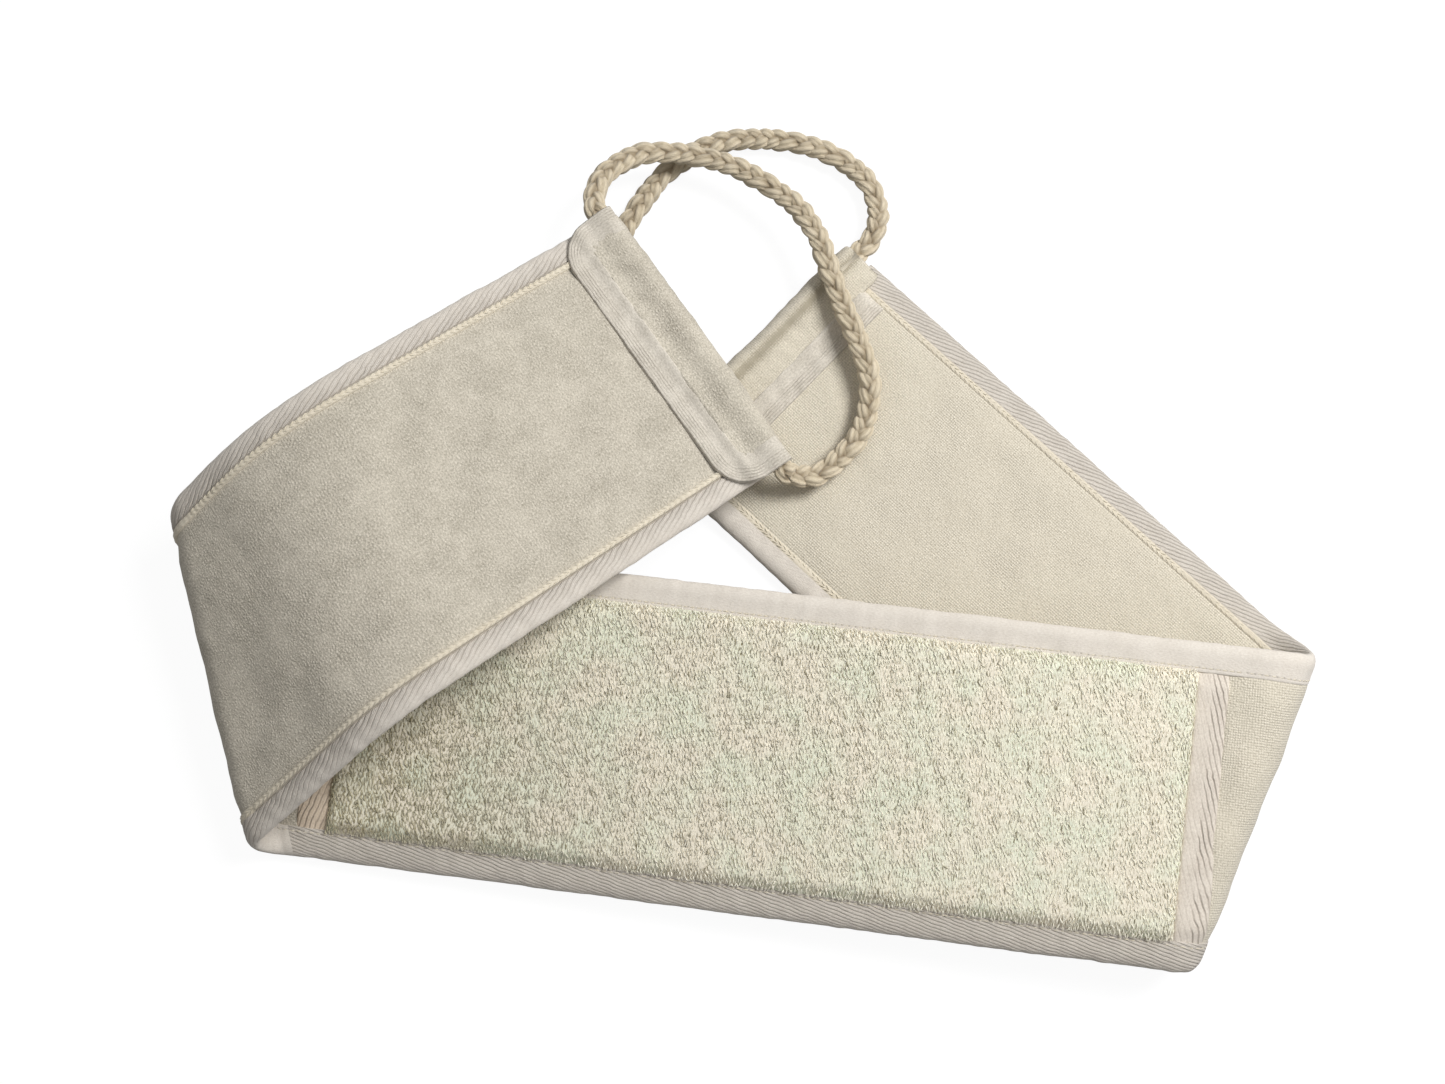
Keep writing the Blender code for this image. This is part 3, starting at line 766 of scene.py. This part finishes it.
def build_camera():
    """Above the strap and a little in front of it, turned by a few degrees."""
    camera = placed("camera", bpy.data.cameras.new("camera"))
    right, ahead = Vector(CAMERA_RIGHT), Vector(CAMERA_AHEAD)
    up = right.cross(ahead).normalized()
    rotation = Matrix((right, up, -ahead)).transposed().to_4x4()
    camera.matrix_world = Matrix.Translation(Vector(CAMERA_PLACE) * MM) @ rotation
    camera.data.lens = CAMERA_LENS
    camera.data.clip_start = 0.01
    bpy.context.scene.camera = camera


build_camera()


# --- the ropes


def smooth_curve(points, spacing):
    """Points at an even spacing along a Catmull-Rom curve through the given ones."""
    points = np.array(points)
    padded = np.concatenate([points[:1], points, points[-1:]])
    a, b, c, d = padded[:-3, None], padded[1:-2, None], padded[2:-1, None], padded[3:, None]
    t = np.linspace(0, 1, 24, endpoint=False)[None, :, None]
    fine = (b * 2 + (c - a) * t + (a * 2 - b * 5 + c * 4 - d) * t ** 2
            + (b * 3 - a - c * 3 + d) * t ** 3) / 2
    fine = np.concatenate([fine.reshape(-1, 3), points[-1:]])
    travelled = travelled_along(fine)
    goals = np.linspace(0, travelled[-1], round(travelled[-1] / spacing) + 1)
    return points_at(fine, travelled, goals)


def tunnel_point(end, w):
    return folded(from_end(end, HEM_RADIUS), w, TUNNEL_HEIGHT)


def rope_path(end, start_side, route):
    """The rope's centre line, from one sewn end inside the hem to the other."""
    inner = (ROPE_END, HALF_WIDTH / 2, HEM_HALF + ROPE_MOUTH)
    out = [tunnel_point(end, start_side * w) for w in inner]
    back = [tunnel_point(end, -start_side * w) for w in reversed(inner)]
    loop = [np.array(point) * MM for point in route]
    return smooth_curve([*out, *loop, *back], 0.5 * MM)


def plaited(path, travelled, uneven):
    """The rings of each strand plaited round the path, and the strand's middle in each."""
    tangent = unit(np.gradient(path, axis=0))
    sideways = unit(np.cross(tangent, (0, 0, 1.0)))
    upward = np.cross(sideways, tangent)
    strand = np.arange(STRANDS)[:, None]
    turn = math.tau * (travelled / PLAIT + strand / STRANDS) + 0.35 * uneven(travelled, 0)
    swing, lift = PLAIT_WIDTH * np.sin(turn), PLAIT_DEPTH * np.sin(2 * turn)
    middle = path + sideways * swing[..., None] + upward * lift[..., None]
    heading = unit(np.gradient(middle, axis=1))
    wide = unit(np.cross(upward, heading))
    thick = np.cross(heading, wide)
    middle, wide, thick = (x[:, :, None] for x in (middle, wide, thick))
    angle = np.linspace(0, math.tau, STRAND_SIDES, endpoint=False)[:, None]
    yarns = np.cos(YARNS * angle + math.tau * travelled[:, None, None] / YARN_TURN)
    swell = 1 + 0.07 * uneven(travelled, (strand + 1) * 50 * MM)[..., None, None]
    size = swell * (1 + YARN_RELIEF * yarns)
    out = STRAND_WIDTH * np.cos(angle) * wide + STRAND_DEPTH * np.sin(angle) * thick
    return middle + size * out, middle


def build_rope(name, end, start_side, route, body):
    """Three strands plaited round the path."""
    path = rope_path(end, start_side, route)
    travelled = travelled_along(path)
    rings, middle = plaited(path, travelled, ripples(start_side + 40, 9 * MM, 40 * MM))
    out = np.linalg.norm(rings - path[:, None], axis=-1)
    faces, unwrapped = tube_faces(len(path), STRAND_SIDES, STRANDS)
    run = travelled[:, None] + np.arange(STRANDS)[:, None, None] * 0.5
    around = np.arange(STRAND_SIDES + 1) / STRAND_SIDES * STRAND_ROUND
    # The depth attribute is low in the hollows of the braid, where painted shade darkens it.
    rope = mesh_object(name, rings, faces, spread(run, around), ROPE, rings - middle, unwrapped,
                       depth=ease((out - HOLLOW_SHADE) / HOLLOW_SHADE_SLOPE))
    hang(rope, body, "braided_cotton", name.replace("braid", "rope"))


build_rope("left_braid", LEFT_END, -1, LEFT_ROUTE, "left_loop")
build_rope("right_braid", RIGHT_END, 1, RIGHT_ROUTE, "right_loop")


# --- the strap

# The parts that the cloth of each stretch stands for.
ARM_PARTS = "back_cloth", "front_cloth", "foam_core"
CLOTH_PARTS = {"left_arm": ARM_PARTS, "right_arm": ARM_PARTS,
               "panel": ("back_cloth", "foam_core", "front_cloth_left", "front_cloth_right")}


def crown(s, w):
    """Height of the cloth over the padding, pressed down where the binding is sewn,
    and less so beside the binding of the right arm."""
    border = mix(NIPPED, NIPPED_RIGHT, ease((s - LOOFAH_END - TAPE_WIDTH) / CROWN_SLOPE))
    border = np.where(abs(w) > CROWN_EDGE, NIPPED, border)
    return mix(border, CLOTH_FACE, ease((CROWN_EDGE - abs(w)) / CROWN_SLOPE))


def cloth_height(s, w, side):
    """Outer face of a cloth, sunk under the loofah and its tapes on the front."""
    open_part = ease((CROWN_EDGE - abs(w)) / CROWN_SLOPE)
    height = crown(s, w) + (0.22 * SOFT(s, w + side * 0.4) + 0.07 * FINE(s, w)) * MM * open_part
    if side > 0:
        start, end = LOOFAH_START - TAPE_WIDTH, LOOFAH_END + TAPE_WIDTH
        height = mix(height, UNDER_LOOFAH, ease((s - start) / SINK) * ease((end - s) / SINK))
    return height


def build_cloths():
    """Both cloths of each stretch of the strap, joined under the binding."""
    across = np.linspace(-CLOTH_HALF, CLOTH_HALF, 47)
    w = np.concatenate([across, across[::-1]])
    side = np.repeat([1, -1], len(across))
    for stretch, lines in STRETCHES.items():
        s = places(chain(*lines, spacing=1.2 * MM if stretch in FOLD_TURN else 2 * MM), w)
        front, back = np.split(s, 2, axis=1)
        h = np.concatenate([cloth_height(front, across, 1), -cloth_height(back, across[::-1], -1)], 1)
        material = CLOTHS[stretch.split("_")[0]]
        piece = skin(f"{stretch}_cloth", s, w, h, 0.0, side, w + side * 0.2, material,
                     closed=True, capped=stretch.endswith("arm"))
        hang(piece, stretch, "cotton_cloth",
             *(f"{stretch}_{part}" for part in CLOTH_PARTS.get(stretch, ())))


def binding_section(side):
    """The tape round one long edge as (w, h, normal, distance from the edge)."""
    inner = HALF_WIDTH - BINDING_WIDTH
    turn = HALF_WIDTH - BINDING_TURN
    face = np.linspace(inner + 0.3 * MM, turn, 16)
    arc = np.linspace(math.pi / 2, -math.pi / 2, 25)[1:-1]
    sunk = [inner, inner]
    w = np.concatenate([sunk, face, turn + BINDING_TURN * np.cos(arc), face[::-1], sunk])
    border = np.array([NIPPED - 0.5 * MM, BINDING_HALF - 0.35 * MM])
    flat = np.full(len(face), BINDING_HALF)
    h = np.concatenate([border, flat, BINDING_HALF * np.sin(arc), -flat, -border[::-1]])
    normal_w, normal_h, v = outline_normals(w, h)
    return side * w, h, side * normal_w, normal_h, v - v[-1] / 2


def binding_relief(s, v, side, tape):
    """Height of the tape over its smooth section: uneven all over, and on the back a
    ridge of chain stitches beside its border, with puckers that run out from it."""
    place = v / MM
    flat = ease((BINDING_WIDTH + 1 * MM - abs(v)) / (2 * MM))
    uneven = (0.07 * FINE(s, v + side * 0.3) + 0.10 * SOFT(s, v + side)) * flat
    across = (place - RIDGE_MIDDLE) / RIDGE_HALF
    knots = RIDGE_HEIGHT + KNOT_HEIGHT * np.cos(math.tau * s / STITCH)
    ridge = np.sqrt(np.clip(1 - across ** 2, 0, 1)) * knots
    groove = -GROOVE_DEPTH * np.exp(-((place - RIDGE_START) / GROOVE_HALF) ** 2)
    turn = math.tau * (s / MM - side * tape.lean * place) / tape.pitch
    pucker = PUCKER_HEIGHT * np.sin(turn) * ease(place / RIDGE_START) * (place < RIDGE_START)
    return (uneven + (ridge + groove) * tape.ridge + pucker * tape.ribs) * MM


def build_bindings():
    """The tape over both long edges of each stretch of the strap."""
    for which, (side, edge) in enumerate(((1, "upper"), (-1, "lower"))):
        w, h, normal_w, normal_h, v = binding_section(side)
        for stretch, lines in STRETCHES.items():
            name = f"{stretch}_{edge}_binding"
            tape = BINDING_KINDS[stretch][which]
            s = places(chain(*lines, spacing=0.6 * MM), w)
            piece = skin(name, s, w, h, normal_w, normal_h, v, BINDINGS[tape, side],
                         binding_relief(s, v, side, tape), capped=stretch.endswith("arm"))
            hang(piece, stretch, "cotton_twill_tape", *([] if stretch in FOLD_TURN else [name]))


def loofah_edge(s, w):
    """1 on the pad, falling to 0 under the bindings and the end tapes."""
    sides = ease((CROWN_EDGE + 1.5 * MM - abs(w)) / (5.5 * MM))
    start = ease((s - LOOFAH_START + 1 * MM) / (3 * MM))
    return sides * start * ease((LOOFAH_END + 1 * MM - s) / (3 * MM))


def build_loofah():
    """The pad between its two end tapes, with a rough top."""
    rows = between(square(LOOFAH_START - 3 * MM), square(LOOFAH_END + 3 * MM), 1.5 * MM)
    across = np.linspace(-CROWN_EDGE - 1 * MM, CROWN_EDGE + 1 * MM, 60)
    s = places(rows, across)
    lumps = ripples(11, 3 * MM, 7 * MM, 14)
    h = mix(MAT_BORDER, MAT_FACE + 0.14 * MM * lumps(s, across), loofah_edge(s, across))
    pad = skin("loofah_mat", s, across, h, 0.0, 1.0, across, LOOFAH)
    hang(pad, "panel", "loofah", "loofah_pad")


def fibre_rings(chance, s, w, painted_light, t):
    """The rings of each fibre as s, w and h, with t from its one end to the other."""
    angle = chance.normal(math.radians(98), math.radians(17), FIBRES)
    angle += math.radians(6) * SOFT(s, w + 0.9)
    length = chance.uniform(*FIBRE_LENGTH, FIBRES)[:, None] * MM
    thick = chance.uniform(*FIBRE_THICKNESS, FIBRES)[:, None, None] * MM
    # The fibres arch lower towards the right end, where painted light makes them paler.
    arch = chance.uniform(*FIBRE_ARCH, FIBRES) * MM * (1 - 0.3 * painted_light)
    curl = chance.normal(0, 0.2, FIBRES)
    heading = angle[:, None] + curl[:, None] * t * 2
    border = CROWN_EDGE + 0.5 * MM
    middle_s = np.clip(s[:, None] + length * t * np.cos(heading), LOOFAH_START, LOOFAH_END)
    middle_w = np.clip(w[:, None] + length * t * np.sin(heading), -border, border)
    base = mix(FIBRE_BORDER, MAT_FACE, loofah_edge(s, w))
    middle_h = base[:, None] + arch[:, None] * (1 - (2 * t) ** 2) - 0.15 * MM
    size = thick * np.sqrt(1 - (1.8 * t) ** 2)[:, None]
    corners = np.radians((90, 210, 330))
    across = np.cos(corners) * size
    return (middle_s[..., None] - np.sin(heading)[..., None] * across,
            middle_w[..., None] + np.cos(heading)[..., None] * across,
            middle_h[..., None] + np.sin(corners) * size * 0.8)


def fibre_tones(chance, s, w, painted_light, t):
    """Each fibre's tint with painted light and shade, its wear, and its specks and painted shade at
    each ring.
    """
    # Painted shade towards the lower left of the pad, painted light towards its right end and its
    # border.
    painted_shade = ease((PAINTED_SHADE_END - s) / PAINTED_SHADE_SLOPE) * (CROWN_EDGE - w) / (2 * CROWN_EDGE)
    painted_light_border = 1 - loofah_edge(s, w)
    tint = chance.normal(0.72, 0.24, FIBRES) * (1 - 0.3 * painted_light) + 0.4 * painted_light - 0.9 * painted_shade
    tint = np.clip(tint + 0.6 * painted_light_border, 0, 1)
    wear = 0.4 * ease((WORN_END - s) / WORN_SLOPE)
    wear = np.clip(wear * chance.uniform(0.4, 1.2, FIBRES), 0, 1)
    specks = chance.random(FIBRES) < 0.035
    # Painted shade at both ends of each fibre, where it sinks into the mat.
    sunk = np.clip(1 - (1 - (2 * t) ** 2) * 2.0, 0, 0.5)
    root = np.maximum(sunk * (1 - 0.75 * painted_light[:, None]), specks[:, None] * 0.8)
    root = (root + 0.35 * painted_shade[:, None]) * (1 - 0.8 * painted_light_border[:, None])
    return tint, wear, np.minimum(root, 1)


def build_fibres():
    """Short curved fibres over the pad, most of them lying across the band."""
    chance = np.random.default_rng(17)
    number = np.arange(FIBRES)
    s = mix(LOOFAH_START, LOOFAH_END, number * EVEN_COVER[0] % 1) + chance.normal(0, 0.2 * MM, FIBRES)
    w = mix(-CROWN_EDGE, CROWN_EDGE, number * EVEN_COVER[1] % 1) + chance.normal(0, 0.2 * MM, FIBRES)
    # Painted light grows towards the right end of the pad.
    painted_light = ease((s - PAINTED_LIGHT_START) / PAINTED_LIGHT_SLOPE)
    t = np.linspace(-0.5, 0.5, FIBRE_RINGS)
    rings = fibre_rings(chance, s, w, painted_light, t)
    tint, wear, root = fibre_tones(chance, s, w, painted_light, t)
    faces, _ = tube_faces(FIBRE_RINGS, FIBRE_SIDES, FIBRES)
    corners = FIBRE_RINGS * FIBRE_SIDES
    fibres = mesh_object("loofah_fibres", folded(*rings), faces, spread(*rings[:2]), FIBRE,
                         tint=np.repeat(tint, corners), wear=np.repeat(wear, corners),
                         root=np.repeat(root, FIBRE_SIDES))
    hang(fibres, "panel", "loofah")


def build_end_tapes():
    """The flat tape over each raw end of the loofah."""
    x = TAPE_PLACES[:, None] / TAPE_BORDER * TAPE_WIDTH
    across = np.linspace(-CROWN_EDGE - 1.5 * MM, CROWN_EDGE + 1.5 * MM, 150)
    edge = ease((CROWN_EDGE + 1 * MM - abs(across)) / (6 * MM))
    for name, start, side in (("left", LOOFAH_START, -1), ("right", LOOFAH_END, 1)):
        s = start + side * x
        relief = (0.12 * FINE(s, across) + 0.05 * SOFT(s, across)) * MM
        h = mix(NIPPED, TAPE_FACE, edge) - TAPE_DROP[:, None] * MM + relief
        piece = skin(f"{name}_loofah_tape", s, across, h, 0.0, 1.0, x, END_TWILLS[name], run=across)
        hang(piece, "panel", "cotton_twill_tape", f"loofah_{name}_end_tape")


# --- the hems


def hem_back(t):
    """Distance of the flap's outer face from the strap's middle, t from its end."""
    reach = HEM_RADIUS - np.clip(t, 0, HEM_RADIUS)
    roll = -TUNNEL_HEIGHT + np.sqrt(HEM_RADIUS ** 2 - reach ** 2)
    fall = ease((t - HEM_RADIUS) / (FLAP_SLOPE_END - HEM_RADIUS))
    flap = mix(HEM_RADIUS - TUNNEL_HEIGHT, HEM_FACE, fall)
    arm = mix(flap, CLOTH_FACE + 0.4 * MM, ease((t - FLAP_END) / (3.5 * MM)))
    return np.where(t < HEM_RADIUS, roll, arm)


def hem_section():
    """Outer outline of a hem as (t, h) from the front face round to the flap's end."""
    front = [(HEM_START, CLOTH_FACE), (HEM_START - 2 * MM, CLOTH_FACE)]
    turn = np.linspace(0, math.pi, 31)
    roll = spread(HEM_RADIUS - HEM_RADIUS * np.sin(turn), TUNNEL_HEIGHT + HEM_RADIUS * np.cos(turn))
    t = np.linspace(HEM_RADIUS + 0.5 * MM, FLAP_END, 25)
    tuck = [(FLAP_END + 0.3 * MM, -HEM_FACE + 0.6 * MM), (FLAP_END + 0.2 * MM, 0.3 * MM - CLOTH_FACE)]
    return np.concatenate([front, roll, spread(t, -hem_back(t)), tuck])


def tunnel_rings(end, count):
    """Rings of the tunnel: deep inside it, at one mouth, at the other, and deep inside."""
    angle = np.linspace(math.pi * 0.42, math.pi * 2.42, count)
    t = HEM_RADIUS - TUNNEL_RADIUS * np.sin(angle)
    h = TUNNEL_HEIGHT + TUNNEL_RADIUS * np.cos(angle)
    deep, mouth = HEM_HALF - TUNNEL_DEPTH, HEM_HALF - 0.2 * MM
    return [folded(from_end(end, t), w, h)[None] for w in (-deep, -mouth, mouth, deep)]


def build_hem(name, end, crease, material):
    """The sleeve round the rope: its outer face, its mouths and the tunnel inside."""
    t, h = hem_section().T
    normal_t, normal_h, v = outline_normals(t, h)
    across = np.linspace(-HEM_HALF, HEM_HALF, 120)[:, None]
    groove = np.exp(-((t - RIGHT_SEAM) / SEAM_HALF) ** 2) * (h < TUNNEL_HEIGHT) * crease
    # Painted shade in the groove on the right flap, fading out towards the strap's lower edge.
    rubbed = groove * ease((across + 1.1 * HALF_WIDTH) / HALF_WIDTH)
    rim = ease((HEM_HALF - abs(across)) / (1.5 * MM))
    relief = 0.25 * SOFT(across, v + end) + 0.10 * FINE(across, v)
    relief = (relief - 1.2 * groove * (1 + 0.4 * SOFT(across, end)) - 0.35 * (1 - rim)) * MM
    outside = folded(from_end(end, t - normal_t * relief), across, h - normal_h * relief)
    rings = tunnel_rings(end, len(t))
    grid = np.concatenate([*rings[:2], outside, *rings[2:]])
    faces, _ = grid_faces(*grid.shape[:2])
    wide, rubbed = (np.pad(x, ((2, 2), (0, 0)), "edge") for x in (across, rubbed))
    hem = mesh_object(f"{name}_hem_sleeve", grid, faces, spread(v + end, wide), material,
                      grid - tunnel_point(end, 0), rubbed=rubbed)
    hang(hem, name, "cotton_cloth", f"{name}_hem")


def tape_edge(corner):
    """Outer edge of a hem tape as (w, t): across the strap, round corners at both sides."""
    far = FLAP_END + HEM_TAPE_WIDTH
    if not corner:
        return spread(np.linspace(-CROWN_EDGE - 1 * MM, CROWN_EDGE + 1 * MM, 100), far)
    half = HALF_WIDTH + 0.6 * MM
    start = np.linspace(2.5 * MM, far - corner, 8)[:-1]
    turn = np.linspace(math.pi, math.pi / 2, 14)
    arc = spread(-half + corner + corner * np.cos(turn), far - corner + corner * np.sin(turn))
    run = np.linspace(-half + corner, half - corner, 40)[1:-1]
    first = np.concatenate([spread(-half, start), arc])
    return np.concatenate([first, spread(run, far), (first * (-1, 1))[::-1]])


def build_hem_tape(name, end, corner):
    """The tape over the flap's raw edge; one of its borders melts into the cloth."""
    edge = tape_edge(corner)
    heading = unit(np.gradient(edge, axis=0))
    inward = spread(heading[:, 1], -heading[:, 0])
    x = TAPE_PLACES * MM
    melting = ease((x - 5 * MM) / (5.5 * MM)) if corner else ease((3.5 * MM - x) / (5 * MM))
    drop = np.maximum(TAPE_DROP * MM, HEM_TAPE * melting)
    place = edge[:, None] + inward[:, None] * x[:, None]
    w, t = place[..., 0], np.maximum(place[..., 1], 0.3 * MM)
    run = travelled_along(edge)[:, None]
    wrinkle = 0.16 * FINE(run, x + end) + 0.12 * SOFT(run, x)
    h = -(hem_back(t) + HEM_TAPE) + drop - wrinkle * MM
    if not corner:  # its ends go in under the bindings
        h = mix(-NIPPED, h, ease((CROWN_EDGE + 1 * MM - abs(w)) / (4 * MM)))
    tape = skin(f"{name}_flap_tape", from_end(end, t), w, h, 0.0, -1.0, x, HEM_TWILL, run=run)
    hang(tape, name, "cotton_twill_tape", f"{name}_hem_tape")


# --- stitches


def stitch_row(route, slant):
    """Rings of a row of stitches along a route of (s, w, h) points, a few in each stitch."""
    travelled = travelled_along(route)
    middle = (np.arange(int(travelled[-1] / STITCH)) + 0.5) * STITCH
    t = np.linspace(-0.5, 0.5, STITCH_RINGS)
    where = middle[:, None] + t * STITCH_LENGTH
    centre = points_at(route, travelled, where)
    step = unit(points_at(route, travelled, where + 0.2 * MM) - centre)
    lateral = spread(-step[..., 1], step[..., 0], 0.0)
    centre += lateral * (slant * STITCH_LENGTH * t)[:, None]
    angle = np.linspace(0, math.tau, STITCH_SIDES, endpoint=False)
    radius = (STITCH_RADIUS * np.sqrt(1 - (1.9 * t) ** 2))[:, None]
    rings = centre[:, :, None] + lateral[:, :, None] * (radius * np.cos(angle))[..., None]
    rise = np.sign(route[0, 2]) * STITCH_RADIUS * (0.9 - 3 * t ** 2)
    rings[..., 2] += rise[:, None] + radius * np.sin(angle)
    return rings


def build_stitches():
    """On the back a row of chain links along each binding, on the front plain stitches."""
    from_edge = HALF_WIDTH + BINDING_EXCESS
    chain_line, front_line = from_edge - RIDGE_MIDDLE * MM, from_edge - HOLES * MM
    for stretch, lines in STRETCHES.items():
        rows = chain(*lines, spacing=1 * MM)
        chain_face = -BINDING_HALF - CHAIN_HEIGHT[stretch]
        seams = []
        for side in (-1, 1):
            for w, h, slant in ((chain_line - HALF_LINK, chain_face, LINK_SLANT),
                                (chain_line + HALF_LINK, chain_face, -LINK_SLANT),
                                (front_line, BINDING_HALF - 0.2 * MM, 0.0)):
                s = places(rows, np.array([side * w]))[:, 0]
                seams.append(stitch_row(spread(s, side * w, h), slant))
        points = np.concatenate(seams)
        faces, _ = tube_faces(STITCH_RINGS, STITCH_SIDES, len(points))
        stitches = mesh_object(f"{stretch}_stitches", folded(*np.moveaxis(points, -1, 0)), faces,
                               points[..., :2], THREAD)
        hang(stitches, stretch, "cotton_twill_tape")


build_cloths()
build_bindings()
build_loofah()
build_fibres()
build_end_tapes()
build_hem("left_arm", LEFT_END, 0, COTTON)
build_hem_tape("left_arm", LEFT_END, LEFT_CORNER)
build_hem("right_arm", RIGHT_END, 1, WOVEN)
build_hem_tape("right_arm", RIGHT_END, 0)
build_stitches()


# --- the room


def build_floor():
    """A white floor that keeps the strap's shadow and throws little light back up."""
    bpy.ops.mesh.primitive_plane_add(size=FLOOR_SIZE, location=(0, 0, -FLOOR_DROP))
    floor = bpy.context.object
    floor.name = "floor"
    material, _ = surface("floor", 1, specular=0)
    tree = material.node_tree
    seen = add(tree, "LightPath").outputs["Is Camera Ray"]
    dress(material, blend(seen, FLOOR_UNSEEN, FLOOR_SEEN))
    glow = add(tree, "Emission", {"Color": WHITE, "Strength": FLOOR_GLOW})
    share = times(seen, FLOOR_GLOW_SHARE)
    plain = tree.nodes["Principled BSDF"].outputs[0]
    both = add(tree, "MixShader", {0: share, 1: plain, 2: glow.outputs[0]})
    tree.links.new(both.outputs[0], tree.nodes["Material Output"].inputs["Surface"])
    floor.data.materials.append(material)


def area_light(name, place, size, power):
    """A white light that shines on the middle of the strap."""
    light = bpy.data.lights.new(name, "AREA")
    light.energy = power
    light.size = size
    obj = placed(name, light)
    obj.location = place
    obj.rotation_euler = (-Vector(place)).to_track_quat("-Z", "Y").to_euler()


def build_world():
    """White to the eye, and a dim light from all around."""
    world = bpy.data.worlds.new("world")
    bpy.context.scene.world = world
    world.use_nodes = True
    tree = world.node_tree
    background = tree.nodes["Background"]
    background.inputs["Color"].default_value = WHITE
    seen = add(tree, "LightPath").outputs["Is Camera Ray"]
    tree.links.new(remap(seen, 0.0, 1.0, WORLD_LIGHT, 1.0), background.inputs["Strength"])


build_floor()
area_light("key", *KEY)
area_light("fill", *FILL)
build_world()
bpy.context.scene.view_settings.view_transform = "Standard"
